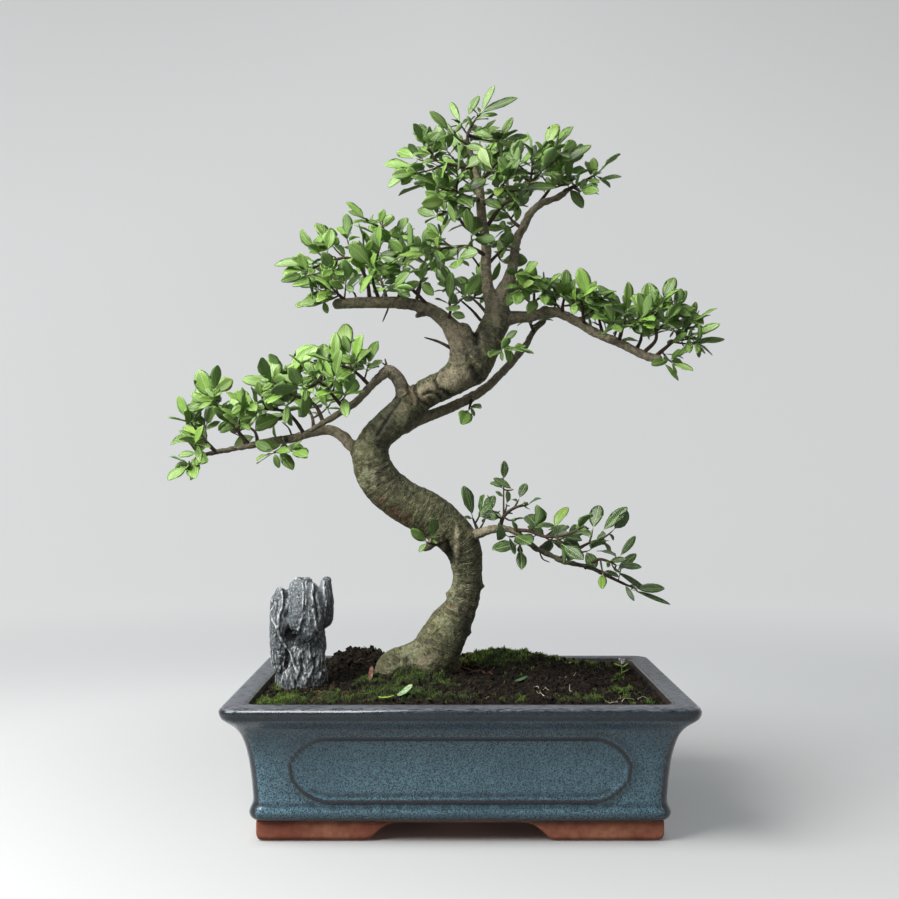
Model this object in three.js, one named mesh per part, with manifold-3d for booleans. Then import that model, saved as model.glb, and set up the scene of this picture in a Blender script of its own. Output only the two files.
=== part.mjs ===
// A chinese elm bonsai in its glazed pot, with an eroded upright stone beside it.
// Millimetres, +Z up, +Y away from the front. The pieces are drawn about the pot's middle, and
// the whole then moves so that the origin is under its middle, where the pot's feet stand.
import * as THREE from 'three';
import { mergeVertices } from 'three/addons/utils/BufferGeometryUtils.js';
import Module from 'manifold-3d';

const wasm = await Module();
wasm.setup();

// Pot
const POT_WIDTH = 252;
const POT_DEPTH = 195;
// How far the pot stands to the right of the middle of the whole
const POT_OFF_MIDDLE = 8.6;
const FOOT_HEIGHT = 11;
const FLOOR_TOP = 19;
const CORNER_RADIUS = 9;
const CORNER_STEPS = 3;
const FRONT_GAP_BETWEEN_FEET = 97;
const SIDE_GAP_BETWEEN_FEET = 76;
const FOOT_END_SLANT = 9.5;
const FOOT_HALF_WIDTH = 107.8;
const FOOT_HALF_WIDTH_AT_TOP = 109.6;
const FOOT_THICKNESS = 16;
const DRAIN_HOLE_RADIUS = 9;
const DRAIN_HOLE_X = 55;
// Raised outline of the panel on each side
const PANEL_MIDDLE = 38.6;
const PANEL_HEIGHT = 34;
const PANEL_END_INSET = 36;
const PANEL_CORNER_LENGTH = 16;
const PANEL_CORNER_HEIGHT = 10;
const RIDGE_WIDTH = 2.6;
const RIDGE_RISE = 0.9;
// Plastic mesh over each drain hole
const SCREEN_SIDE = 34;
const SCREEN_THICKNESS = 1;
const SCREEN_OPENINGS = 3;
const SCREEN_BAR = 2;
// How far a joined face may stray from flat
const FLATNESS = 0.08;
// Room between pieces that touch
const CLEARANCE = 0.3;
// Leaves: all are cut by the same rule from these sizes
const LEAF_LENGTH = 14.5;
const LEAF_SLIMNESS = 0.47;
const LEAF_THICKNESS = 0.6;
const LEAF_FOLD = 0.3;
const LEAF_SPACING = 10;
const LEAF_ROOM = 0.35;
// Shares of a blade's length where it reaches its full width
const BLADE_SHOULDERS = [0.27, 0.73];
// Ranges of the random draws: angles in radians, sizes as shares of the leaf length
const TURN_RANGE = [-0.75, 0.75];
const TIP_TILT_RANGE = [0.1, 0.4];
const SIDE_TILT_RANGE = [0.7, 1.2];
const TIP_SIZE_RANGE = [0.95, 1.37];
const SIDE_SIZE_RANGE = [0.74, 1.16];
const SLIMNESS_RANGE = [-0.07, 0.09];
const FACING_RANGE = [-0.75, 0.75];
// Leaves rise a little, and face up and to the front
const LEAF_RISE = 0.12;
const FACE_UP = 0.7;
const FACE_FRONT = 0.45;
const LEAF_ATTEMPTS = 6;
// The last attempts try a smaller leaf
const FULL_SIZE_ATTEMPTS = 4;
const SMALLER_LEAF = 0.75;
// Twigs
const STEM_RADIUS = 1.5;
const STEM_TIP_RADIUS = 1.1;
const SHOOT_RADIUS = 0.62;
const SHOOT_TIP_RADIUS = 0.5;
const STEM_BARE_SHARE = 0.45;
const SHOOT_BARE_SHARE = 0.3;
const CHAIN_STEPS_PER_SPAN = 6;

const UP = new THREE.Vector3(0, 0, 1);
const TO_FRONT = new THREE.Vector3(0, -1, 0);
const vector = ([x, y, z]) => new THREE.Vector3(x, y, z);

const tree = new THREE.Group();
tree.name = 'chinese_elm_bonsai';
tree.position.x = POT_OFF_MIDDLE;

// Turns a closed three.js geometry into a solid
function solid(geometry) {
  geometry.deleteAttribute('normal');
  geometry.deleteAttribute('uv');
  const merged = mergeVertices(geometry, 1e-4);
  const corners = merged.index.array;
  const kept = [];
  for (let i = 0; i < corners.length; i += 3) {
    const [a, b, c] = corners.slice(i, i + 3);
    if (a !== b && b !== c && c !== a) kept.push(a, b, c);
  }
  const vertProperties = new Float32Array(merged.attributes.position.array);
  const mesh = new wasm.Mesh({ numProp: 3, vertProperties, triVerts: new Uint32Array(kept) });
  return new wasm.Manifold(mesh);
}

// Joins the flat faces that a cut or a join left in strips, and drops scraps it cut off
function tidy(body) {
  const parts = body.asOriginal().simplify(FLATNESS).decompose();
  return parts.sort((a, b) => b.volume() - a.volume())[0];
}

// Adds a solid to the tree as a named mesh
function addPiece(name, body, colour, roughness) {
  const { vertProperties, triVerts } = body.getMesh();
  const geometry = new THREE.BufferGeometry();
  geometry.setAttribute('position', new THREE.BufferAttribute(vertProperties, 3));
  geometry.setIndex(new THREE.BufferAttribute(triVerts, 1));
  geometry.computeVertexNormals();
  const material = new THREE.MeshStandardMaterial({ color: colour, roughness, metalness: 0 });
  const mesh = new THREE.Mesh(geometry, material);
  mesh.name = name;
  tree.add(mesh);
}

// Moves every vertex of a geometry to where `place` puts it
function bend(geometry, place) {
  const position = geometry.attributes.position;
  const vertex = new THREE.Vector3();
  for (let i = 0; i < position.count; i += 1) {
    vertex.fromBufferAttribute(position, i);
    const { x, y, z } = place(vertex);
    position.setXYZ(i, x, y, z);
  }
  return geometry;
}

const smooth = (points) => new THREE.CatmullRomCurve3(points.map(vector), false, 'catmullrom');

// A round, tapering limb along a route of [x, y, z, radius]. `grown` makes it thicker and longer.
function limb(route, sides, stepsPerSpan, grown = 0) {
  const spans = route.length - 1;
  const steps = spans * stepsPerSpan;
  const curve = smooth(route);
  // No limb runs this way
  let across = new THREE.Vector3(0.3, -1, 0.1);
  const rings = [];
  for (let i = 0; i <= steps; i += 1) {
    const along = curve.getTangent(i / steps);
    across = across.clone().addScaledVector(along, -across.dot(along)).normalize();
    const place = Math.min(i / stepsPerSpan, spans - 1e-9);
    const span = Math.floor(place);
    const radius = THREE.MathUtils.lerp(route[span][3], route[span + 1][3], place - span) + grown;
    const centre = curve.getPoint(i / steps);
    if (i === 0) centre.addScaledVector(along, -grown);
    if (i === steps) centre.addScaledVector(along, grown);
    rings.push({ centre, across, beside: across.clone().cross(along), radius });
  }
  const geometry = new THREE.CylinderGeometry(1, 1, steps, sides, steps);
  return solid(bend(geometry, (v) => {
    const ring = rings[Math.round(v.y + steps / 2)];
    return ring.centre.clone()
      .addScaledVector(ring.across, v.x * ring.radius)
      .addScaledVector(ring.beside, v.z * ring.radius);
  }));
}

// Pot

// Half width of the outer wall and rim at each height, from the photograph's outline
const OUTER_WALL = [
  [109.9, 11], [111.6, 15.4], [110.3, 20], [110.6, 28.6], [111.7, 40.4],
  [113.9, 51], [116.9, 58.3], [121.8, 63.7], [125.4, 67.3], [126, 70.5], [123, 73],
];
const INNER_WALL = [[112, 73], [111, 63], [106, 40], [102, FLOOR_TOP]];
const DEPTH_LESS = (POT_WIDTH - POT_DEPTH) / 2;

// Point of the pot's plan, a rectangle with round corners, at one step of its outline
function planPoint(step, halfWidth) {
  const corner = Math.floor(step / (CORNER_STEPS + 1)) % 4;
  const turn = (step % (CORNER_STEPS + 1)) / CORNER_STEPS;
  const angle = (corner + turn) * Math.PI / 2;
  const signX = corner === 0 || corner === 3 ? 1 : -1;
  const signY = corner < 2 ? 1 : -1;
  const x = signX * (halfWidth - CORNER_RADIUS) + CORNER_RADIUS * Math.cos(angle);
  const y = signY * (halfWidth - DEPTH_LESS - CORNER_RADIUS) + CORNER_RADIUS * Math.sin(angle);
  return [x, y];
}

// A wall of the given profile of [half width, height], closed or running from axis to axis
function potTurned(profile) {
  const steps = 4 * (CORNER_STEPS + 1);
  const outline = profile.map(([halfWidth, height]) => new THREE.Vector2(halfWidth, height));
  const geometry = new THREE.LatheGeometry(outline, steps);
  return solid(bend(geometry, (v) => {
    const halfWidth = Math.hypot(v.x, v.z);
    if (halfWidth < 1) return new THREE.Vector3(0, 0, v.y);
    const step = Math.round(Math.atan2(v.x, v.z) / (2 * Math.PI) * steps + steps) % steps;
    const [x, y] = planPoint(step, halfWidth);
    return new THREE.Vector3(x, y, v.y);
  }));
}

// Half width of the outer wall at a height
function wallAt(height) {
  const next = OUTER_WALL.findIndex((row) => row[1] >= height);
  const [wide, high] = OUTER_WALL[next];
  const [wideBelow, low] = OUTER_WALL[next - 1];
  return THREE.MathUtils.mapLinear(height, low, high, wideBelow, wide);
}

// The raised outline of a panel on a wall that faces -Y, `inset` nearer than the end walls
function panelRidge(halfLength, inset) {
  const corners = 12;
  const points = [];
  for (let i = 0; i < corners; i += 1) {
    const quarter = Math.floor(i / 3);
    const angle = (quarter + (i % 3) / 2) * Math.PI / 2;
    const signX = quarter === 0 || quarter === 3 ? 1 : -1;
    const signZ = quarter < 2 ? 1 : -1;
    const x = signX * (halfLength - PANEL_CORNER_LENGTH) + PANEL_CORNER_LENGTH * Math.cos(angle);
    const z = PANEL_MIDDLE + signZ * (PANEL_HEIGHT / 2 - PANEL_CORNER_HEIGHT)
      + PANEL_CORNER_HEIGHT * Math.sin(angle);
    points.push([x, z]);
  }
  const ringRadius = 10;
  const geometry = new THREE.TorusGeometry(ringRadius, 1, 3, corners);
  return solid(bend(geometry, (v) => {
    const index = Math.round(Math.atan2(v.y, v.x) / (2 * Math.PI) * corners + corners) % corners;
    const [x, z] = points[index];
    const outward = Math.hypot(v.x, v.y) - ringRadius;
    const towards = new THREE.Vector2(x / halfLength, (z - PANEL_MIDDLE) / PANEL_HEIGHT).normalize();
    const px = x + towards.x * outward * RIDGE_WIDTH / 2;
    const pz = z + towards.y * outward * RIDGE_WIDTH / 2;
    return new THREE.Vector3(px, -(wallAt(pz) - inset) - v.z * RIDGE_RISE, pz);
  }));
}

// Opening between two feet, narrower at its top, cut right through along Y
function footOpening(gap, length) {
  const spare = 2;
  const low = gap / 2 + FOOT_END_SLANT * spare / FOOT_HEIGHT;
  const high = gap / 2 - FOOT_END_SLANT;
  const outline = new THREE.Shape([
    new THREE.Vector2(-low, -spare),
    new THREE.Vector2(low, -spare),
    new THREE.Vector2(high, FOOT_HEIGHT),
    new THREE.Vector2(high, FOOT_HEIGHT + spare),
    new THREE.Vector2(-high, FOOT_HEIGHT + spare),
    new THREE.Vector2(-high, FOOT_HEIGHT),
  ]);
  const geometry = new THREE.ExtrudeGeometry(outline, { depth: length, bevelEnabled: false });
  return solid(geometry.translate(0, 0, -length / 2).rotateX(Math.PI / 2));
}

function makePot() {
  const body = potTurned([[0, FOOT_HEIGHT], ...OUTER_WALL, ...INNER_WALL, [0, FLOOR_TOP]]);
  const sunk = FOOT_HEIGHT + 0.5;
  const inner = FOOT_HALF_WIDTH - FOOT_THICKNESS;
  const footProfile = [
    [inner, sunk], [inner, 0], [FOOT_HALF_WIDTH, 0], [FOOT_HALF_WIDTH_AT_TOP, sunk], [inner, sunk],
  ];
  const feet = potTurned(footProfile)
    .subtract(footOpening(FRONT_GAP_BETWEEN_FEET, POT_DEPTH))
    .subtract(footOpening(SIDE_GAP_BETWEEN_FEET, POT_WIDTH).rotate([0, 0, 90]));
  const front = panelRidge(POT_WIDTH / 2 - PANEL_END_INSET, DEPTH_LESS);
  const side = panelRidge(POT_DEPTH / 2 - PANEL_END_INSET, 0);
  let pot = wasm.Manifold.union([
    body, feet, front, front.rotate([0, 0, 180]), side.rotate([0, 0, 90]), side.rotate([0, 0, -90]),
  ]);
  for (const x of [-DRAIN_HOLE_X, DRAIN_HOLE_X]) {
    const hole = new THREE.CylinderGeometry(DRAIN_HOLE_RADIUS, DRAIN_HOLE_RADIUS, 2 * FLOOR_TOP, 12);
    pot = pot.subtract(solid(hole.rotateX(Math.PI / 2).translate(x, 0, FLOOR_TOP)));
  }
  return pot;
}

// A square of plastic mesh, lying on the floor over a drain hole
function makeScreen(x) {
  let screen = solid(new THREE.BoxGeometry(SCREEN_SIDE, SCREEN_SIDE, SCREEN_THICKNESS));
  const pitch = (SCREEN_SIDE - SCREEN_BAR) / SCREEN_OPENINGS;
  for (let row = 0; row < SCREEN_OPENINGS; row += 1) {
    for (let column = 0; column < SCREEN_OPENINGS; column += 1) {
      const opening = new THREE.BoxGeometry(pitch - SCREEN_BAR, pitch - SCREEN_BAR, 5 * SCREEN_THICKNESS);
      const middle = (SCREEN_OPENINGS - 1) / 2;
      opening.translate((column - middle) * pitch, (row - middle) * pitch, 0);
      screen = screen.subtract(solid(opening));
    }
  }
  return screen.translate([x, 0, FLOOR_TOP + CLEARANCE + SCREEN_THICKNESS / 2]);
}

// Stone: lobes of [x, y, z of the middle, half sizes along x, y, z] that weathered into one another

const STONE_LOBES = [
  [-90, -14, 92, 14.5, 11, 40],
  [-91, -17, 116, 11, 13, 20.5],
  [-102.5, -17, 103, 7, 9, 27],
  [-77.4, -15, 118, 5.8, 9, 18],
  [-84, -22, 112, 8, 8, 22],
  [-91, -14, 74, 16.5, 13, 18],
];
const STONE_BURIED_TO = 62;

function makeStone(grown = 0) {
  const lobes = STONE_LOBES.map(([x, y, z, a, b, c]) => {
    const ball = new THREE.SphereGeometry(1, 8, 6).rotateX(Math.PI / 2);
    ball.scale(a + grown, b + grown, c + grown).translate(x, y, z);
    return solid(ball);
  });
  const reach = 100;
  const [x, y] = STONE_LOBES[0];
  const below = new THREE.BoxGeometry(reach, reach, reach);
  below.translate(x, y, STONE_BURIED_TO - grown - reach / 2);
  return wasm.Manifold.union(lobes).subtract(solid(below));
}

// Trunk and limbs, as [x, y, z, radius] along each

const TRUNK = [
  [-18, 8, 56, 12.5], [-15.5, 7, 70, 13.5], [-12.5, 6, 82, 13.6], [-9.5, 6, 91, 12.8], [-6, 6, 100, 11.3],
  [-1, 6, 110, 10], [4, 5, 123, 9.2], [5, 4, 137, 9.1], [1, 3, 152, 11], [-10, 2, 164, 12.2],
  [-20, 1, 171, 12.6], [-33, 0, 178, 12.2], [-46, -2, 189, 11.8], [-52, -4, 203, 10.8],
  [-49, -5, 215, 9.7], [-41, -5, 224, 9.8], [-31, -4, 234, 10.4], [-18, -3, 243, 9.8],
  [-6, -2, 248, 9.4], [3, -1, 254, 9.6], [10, 0, 262, 9.6],
];
const LIMBS = {
  leftRoot: {
    sides: 7,
    route: [[-10, 6, 97, 11], [-20, 5, 87, 10.6], [-32, 3, 77.5, 9.8], [-42, 1, 70.5, 7.5], [-51, -1, 62, 4.5]],
  },
  frontRoot: { sides: 5, route: [[-18, 2, 86, 9], [-16, -10, 77, 7], [-17, -20, 66, 4]] },
  rightRoot: { sides: 5, route: [[-13, 8, 89, 9], [-7, 13, 79, 7.5], [-2, 20, 66, 4]] },
  backRoot: { sides: 5, route: [[-24, 12, 84, 9], [-26, 24, 80, 6.5], [-28, 36, 70, 3.5]] },
  leftFork: {
    sides: 6,
    route: [
      [6, 0, 256, 8.5], [3, -2, 266, 7.6], [-2, -4, 276, 6], [-8, -5, 284, 4.6], [-19, -7, 291, 3.8],
      [-34, -9, 294, 3.5], [-54, -11, 294, 3.4], [-71, -13, 293, 3.1],
    ],
  },
  rightFork: {
    sides: 6,
    route: [
      [8, 0, 258, 9.6], [16, 2, 271, 9.4], [21, 4, 283, 7.7], [24, 5, 296, 6.2], [30, 8, 310, 3.9],
      [33, 11, 322, 3], [35, 13, 335, 2.7], [39, 14, 343, 2.6], [43, 14, 351, 2.4],
      [50, 12, 357, 2.1], [59, 10, 360, 1.9], [65, 8, 364, 1.7],
    ],
  },
  crownStem: {
    sides: 6,
    route: [
      [23, 4, 291, 4.8], [18, 2, 300, 3.9], [16, 0, 315, 3.1], [16, -2, 329, 3], [13, -4, 350, 2.8],
      [12, -5, 363, 2.5], [9, -6, 376, 1.8], [6, -6, 386, 1.5],
    ],
  },
  rightLimb: {
    sides: 6,
    route: [
      [21, 4, 283, 5.5], [32, 6, 287, 3.9], [43, 8, 288, 3.3], [56, 9, 291, 3], [69, 8, 286, 2.8],
      [82, 6, 278, 2.7], [97, 3, 271, 2.6], [110, 0, 264, 2.5], [118, -2, 262, 2.4],
    ],
  },
  lowerLimb: {
    sides: 5,
    route: [
      [-32, 0, 222, 4.5], [-24, 3, 226, 3.3], [-4, 10, 234, 2.7], [14, 15, 244, 2.6],
      [27, 18, 256, 2.4], [40, 20, 271, 2.1], [46, 20, 281, 1.8], [52, 18, 287, 1.5],
    ],
  },
  archLimb: {
    sides: 5,
    route: [
      [-31, -5, 236, 4.4], [-35, -10, 248, 3.6], [-41, -13, 253, 3.1], [-46, -15, 250, 2.9],
      [-51, -17, 245, 2.7], [-59, -19, 236, 2.6], [-67, -21, 230, 2.3], [-77, -22, 224, 1.9],
      [-85, -23, 219, 1.4],
    ],
  },
  leftLimb: {
    sides: 5,
    route: [
      [-52, -4, 205, 4.7], [-63, -1, 210, 3.6], [-69, 3, 216, 3.3], [-78, 7, 220, 3],
      [-90, 10, 218, 2.7], [-100, 12, 215, 2.6], [-110, 13, 214, 2.4], [-120, 13, 212, 2.1],
      [-135, 12, 209, 1.7], [-145, 11, 207, 1.5], [-154, 10, 205, 1.3],
    ],
  },
  lowRightLimb: {
    sides: 5,
    route: [
      [0, 3, 154, 5], [10, -3, 158, 3.3], [18, -7, 161, 2.8], [24, -10, 162, 2.5], [31, -13, 161, 2.2],
      [38, -16, 156, 2], [44, -18, 151, 1.8], [53, -20, 147, 1.6], [61, -21, 143, 1.5],
      [72, -22, 141, 1.3], [82, -23, 137, 1.2],
    ],
  },
  trunkStub: { sides: 5, route: [[-12, -2, 157, 4], [-17, -8, 152, 2.4], [-20, -10, 150, 1.4]] },
};

function makeTrunk(grown = 0) {
  const limbs = Object.values(LIMBS).map(({ sides, route }) => limb(route, sides, 1, grown));
  return wasm.Manifold.union([limb(TRUNK, 10, 1, grown), ...limbs]);
}

// Soil

const SOIL_LEVEL = 69.5;
const SOIL_DOME = 3.5;
const SOIL_HIGHEST = 95;
// Mounds as [x, y, height, spread along x, spread along y]: behind the trunk, left and right, and
// over its roots
const MOUNDS = [[-62, 36, 12, 24, 22], [28, 44, 10, 38, 20], [-26, 6, 3, 28, 28]];

// Height of the soil: level near the rim, with mounds and small clods
function soilHeight(x, y) {
  let height = SOIL_LEVEL;
  height += SOIL_DOME * (1 - (x / INNER_WALL[0][0]) ** 4) * (1 - (y / (INNER_WALL[0][0] - DEPTH_LESS)) ** 4);
  for (const [moundX, moundY, rise, spreadX, spreadY] of MOUNDS) {
    height += rise * Math.exp(-(((x - moundX) / spreadX) ** 2) - ((y - moundY) / spreadY) ** 2);
  }
  height += 0.9 * Math.sin(x * 0.31 + 1.3) * Math.cos(y * 0.37);
  return height + 0.5 * Math.sin(x * 0.83) * Math.sin(y * 0.71);
}

function makeSoil() {
  const columns = 20;
  const rows = 14;
  const bottom = FLOOR_TOP + 2 * CLEARANCE + SCREEN_THICKNESS;
  const block = new THREE.BoxGeometry(POT_WIDTH, POT_DEPTH, 1, columns, rows, 1);
  const heap = solid(bend(block, (v) => {
    const z = v.z > 0 ? soilHeight(v.x, v.y) : bottom;
    return new THREE.Vector3(v.x, v.y, z);
  }));
  const walls = INNER_WALL.map(([halfWidth, height]) => [halfWidth - CLEARANCE, height]).reverse();
  const hollow = potTurned([[0, FLOOR_TOP], ...walls, [walls.at(-1)[0], SOIL_HIGHEST], [0, SOIL_HIGHEST]]);
  return tidy(heap).intersect(hollow).subtract(makeTrunk(CLEARANCE)).subtract(makeStone(CLEARANCE));
}

// Leafy sprays: the stem starts inside its limb, and each shoot ends where its last leaf begins

const SPRAYS = {
  crown_top: {
    stem: [[8, -6, 380], [5, -6, 392], [8, -7, 400], [13, -8, 406]],
    shoots: [[1, -3, 401], [-5, -11, 394], [16, 8, 398], [26, 9, 394]],
  },
  crown_left: {
    stem: [[9, -6, 374], [-2, -9, 375], [-13, -12, 377], [-18, -13, 385]],
    shoots: [[-21, -20, 385], [-25, 0, 381], [-25, -16, 369], [-18, -8, 364], [-8, 4, 388]],
  },
  crown_left_front: {
    stem: [[14, -4, 355], [4, -13, 356], [-5, -20, 359]],
    shoots: [[-13, -26, 359], [-1, -25, 366], [-8, -26, 350]],
  },
  crown_droop: {
    stem: [[15, -2, 333], [4, -7, 339], [-2, -9, 346], [-11, -10, 348]],
    shoots: [[-2, -6, 355], [-13, -12, 344]],
  },
  crown_front: {
    stem: [[14, -4, 352], [20, -14, 357], [26, -22, 361]],
    shoots: [[30, -27, 367], [19, -24, 369], [36, -19, 358]],
  },
  crown_right: {
    stem: [[17, -2, 341], [25, -3, 352], [32, -5, 356], [40, -6, 361], [43, -6, 372], [43, -6, 381]],
    shoots: [[51, -5, 387], [57, 0, 386], [61, 5, 384], [49, -16, 371], [36, 3, 373], [32, -14, 377]],
  },
  crown_right_back: {
    stem: [[46, 13, 354], [54, 17, 365], [60, 20, 374]],
    shoots: [[68, 20, 382], [69, 8, 371], [50, 28, 380]],
  },
  crown_fork_tip: {
    stem: [[63, 8, 363], [69, 7, 366], [77, 5, 370], [84, 4, 374]],
    shoots: [[73, 2, 362]],
  },
  crown_fork_low: {
    stem: [[38, 13, 342], [33, 17, 347], [29, 19, 353]],
    shoots: [[28, 22, 343], [37, 22, 358]],
  },
  crown_back: {
    stem: [[13, -4, 351], [13, 14, 363], [9, 26, 374]],
    shoots: [[-2, 34, 381], [18, 32, 386], [-9, 24, 368], [2, 24, 387]],
  },
  crown_back_right: {
    stem: [[12, -5, 365], [19, 12, 377], [26, 24, 387]],
    shoots: [[35, 28, 393], [25, 18, 396], [33, 34, 381]],
  },
  middle_left: {
    stem: [[16, -2, 323], [6, -9, 327], [-4, -14, 326], [-13, -18, 324]],
    shoots: [[-11, -12, 332], [-19, -24, 320], [7, -14, 333], [-1, -22, 317]],
  },
  middle_right: {
    stem: [[16, -1, 317], [23, 6, 325], [29, 10, 331]],
    shoots: [[32, 16, 337], [26, 16, 323]],
  },
  right_shoulder: {
    stem: [[32, 9, 314], [36, 2, 312], [40, -2, 310]],
    shoots: [[36, -6, 302]],
  },
  right_root: {
    stem: [[45, 8, 289], [45, 6, 298], [45, 5, 305]],
    shoots: [[38, 12, 301], [51, -2, 301]],
  },
  right_a: {
    stem: [[62, 9, 290], [62, 3, 295], [63, 1, 300]],
    shoots: [[56, 14, 300], [69, -7, 295]],
  },
  right_b: {
    stem: [[75, 7, 283], [73, -3, 290], [72, -7, 296]],
    shoots: [[77, -14, 297], [81, -2, 292]],
  },
  right_c: {
    stem: [[86, 5, 276], [85, 12, 285], [84, 16, 292]],
    shoots: [[78, 22, 291], [93, 19, 290]],
  },
  right_d: {
    stem: [[95, 3, 272], [97, -2, 281], [99, -4, 290]],
    shoots: [[105, -12, 284], [89, -14, 283]],
  },
  right_e: {
    stem: [[110, 1, 266], [116, -5, 273], [115, -6, 283], [113, -6, 291]],
    shoots: [[105, -15, 284], [121, -3, 295], [121, -14, 283], [129, 3, 291]],
  },
  right_end: {
    stem: [[116, -1, 263], [123, -2, 269], [130, 0, 275], [134, 2, 281]],
    shoots: [[139, 8, 285], [137, -7, 274], [129, 12, 281], [142, -6, 271], [125, -8, 259]],
  },
  right_back: {
    stem: [[105, 2, 267], [110, 14, 275], [112, 24, 285]],
    shoots: [[103, 30, 289], [122, 26, 290]],
  },
  upper_left_end: {
    stem: [[-65, -13, 293], [-70, -15, 298], [-75, -16, 303]],
    shoots: [[-81, -14, 294], [-83, -10, 302], [-74, -4, 310], [-65, -26, 303]],
  },
  upper_left_far: {
    stem: [[-52, -11, 294], [-54, -14, 307], [-61, -16, 318], [-71, -19, 318], [-86, -21, 312]],
    shoots: [[-89, -26, 308], [-83, -18, 323], [-74, -14, 327], [-65, -20, 330], [-72, -30, 310]],
  },
  upper_left_middle: {
    stem: [[-46, -10, 294], [-50, -13, 305], [-50, -17, 316]],
    shoots: [[-55, -20, 322], [-46, -22, 323], [-41, -28, 312]],
  },
  upper_left_top: {
    stem: [[-36, -9, 294], [-34, -7, 306], [-37, -5, 319], [-40, -4, 330], [-47, -4, 343]],
    shoots: [[-55, -3, 344], [-35, 2, 336], [-47, 8, 336], [-30, -14, 323]],
  },
  upper_left_front: {
    stem: [[-17, -7, 291], [-26, -14, 300], [-35, -20, 306], [-43, -24, 309]],
    shoots: [[-50, -30, 312], [-32, -26, 313], [-38, -33, 299], [-22, -26, 305]],
  },
  upper_left_back: {
    stem: [[-42, -10, 294], [-45, 6, 305], [-49, 18, 316]],
    shoots: [[-59, 26, 324], [-38, 25, 324], [-60, 16, 312]],
  },
  upper_left_inner: {
    stem: [[-26, -8, 292], [-23, 4, 306], [-21, 8, 318], [-19, 8, 326]],
    shoots: [[-13, 4, 332], [-28, 14, 329], [-9, 0, 320]],
  },
  centre_front: {
    stem: [[-7, -5, 283], [-5, -13, 289], [-6, -18, 294]],
    shoots: [[3, -20, 296]],
  },
  centre_back: {
    stem: [[20, 3, 285], [13, 12, 295], [6, 22, 303]],
    shoots: [[-3, 28, 309], [13, 26, 312]],
  },
  arch_top: {
    stem: [[-52, -17, 245], [-58, -20, 251], [-64, -22, 255], [-70, -23, 256]],
    shoots: [[-65, -17, 263], [-59, -28, 259], [-53, -14, 257], [-76, -18, 252]],
  },
  arch_middle: {
    stem: [[-66, -21, 231], [-71, -25, 237], [-77, -27, 244], [-85, -28, 250]],
    shoots: [[-80, -20, 253], [-70, -34, 248], [-89, -31, 242], [-64, -33, 239]],
  },
  arch_end: {
    stem: [[-78, -22, 223], [-83, -18, 233], [-92, -16, 238], [-102, -15, 242], [-105, -14, 251]],
    shoots: [[-107, -22, 247], [-109, -8, 242], [-96, -20, 251], [-101, -8, 234]],
  },
  left_inner: {
    stem: [[-93, 10, 218], [-98, 6, 226], [-104, 2, 231], [-113, -1, 232], [-122, -2, 233]],
    shoots: [[-116, -6, 238], [-124, 4, 227], [-112, 10, 224], [-129, -8, 235]],
  },
  left_middle: {
    stem: [[-126, 13, 211], [-132, 8, 219], [-139, 5, 228], [-147, 4, 238]],
    shoots: [[-145, -1, 242], [-129, -6, 226], [-151, 8, 235]],
  },
  left_outer: {
    stem: [[-146, 11, 207], [-151, 7, 213], [-157, 5, 221], [-161, 4, 226]],
    shoots: [[-152, 13, 223], [-157, 16, 215], [-156, -3, 211]],
  },
  left_tip: {
    stem: [[-155, 10, 206], [-158, 8, 202], [-161, 7, 199]],
    shoots: [[-157, 4, 207]],
  },
  left_under: {
    stem: [[-103, 12, 215], [-106, 4, 209], [-110, 0, 206]],
    shoots: [[-98, -4, 207]],
  },
  left_back: {
    stem: [[-87, 9, 218], [-89, 20, 228], [-94, 28, 237]],
    shoots: [[-104, 32, 243], [-87, 32, 246], [-79, 28, 236]],
  },
  left_back_outer: {
    stem: [[-121, 13, 211], [-124, 22, 219], [-131, 28, 224]],
    shoots: [[-140, 31, 228], [-120, 33, 229]],
  },
  low_right_root: {
    stem: [[12, -4, 158], [10, -3, 163], [8, -4, 168]],
    shoots: [[12, -10, 170], [16, 4, 168]],
  },
  low_right_up: {
    stem: [[24, -10, 163], [26, -12, 169], [32, -14, 174], [40, -16, 176]],
    shoots: [[26, -11, 190], [28, -6, 176], [19, -20, 173], [35, -9, 179], [31, -22, 167]],
  },
  low_right_under: {
    stem: [[33, -14, 160], [35, -17, 154], [35, -19, 151]],
    shoots: [[28, -22, 158]],
  },
  low_right_twig: {
    stem: [[30, -12, 161], [40, -21, 161], [49, -26, 158], [60, -29, 159], [71, -30, 164]],
    shoots: [[43, -26, 164], [54, -22, 162], [58, -32, 154]],
  },
  low_right_middle: {
    stem: [[58, -20, 145], [66, -17, 149], [76, -15, 154], [84, -16, 156]],
    shoots: [[78, -10, 161], [74, -26, 150], [89, -16, 161]],
  },
  low_right_outer: {
    stem: [[72, -22, 140], [79, -27, 145], [85, -29, 144], [89, -30, 142]],
    shoots: [[91, -26, 146], [81, -34, 138]],
  },
  low_right_tip: {
    stem: [[80, -23, 138], [92, -25, 132], [99, -26, 129]],
    shoots: [[90, -20, 137]],
  },
  low_right_back: {
    stem: [[46, -18, 150], [51, -4, 153], [56, 8, 155]],
    shoots: [[49, 13, 159], [65, 14, 156]],
  },
  trunk_tuft: {
    stem: [[-9, -5, 154], [-15, -11, 153], [-19, -14, 154]],
    shoots: [[-15, -18, 157]],
  },
  middle_front: {
    stem: [[20, 0, 275], [26, -10, 270], [32, -14, 266]],
    shoots: [[24, -19, 265]],
  },
  under_limb: {
    stem: [[8, 13, 240], [7, 9, 236], [6, 6, 232]],
    shoots: [],
  },
  limb_top: {
    stem: [[46, 20, 280], [43, 14, 285], [40, 10, 288]],
    shoots: [[49, 10, 286]],
  },
};

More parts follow.
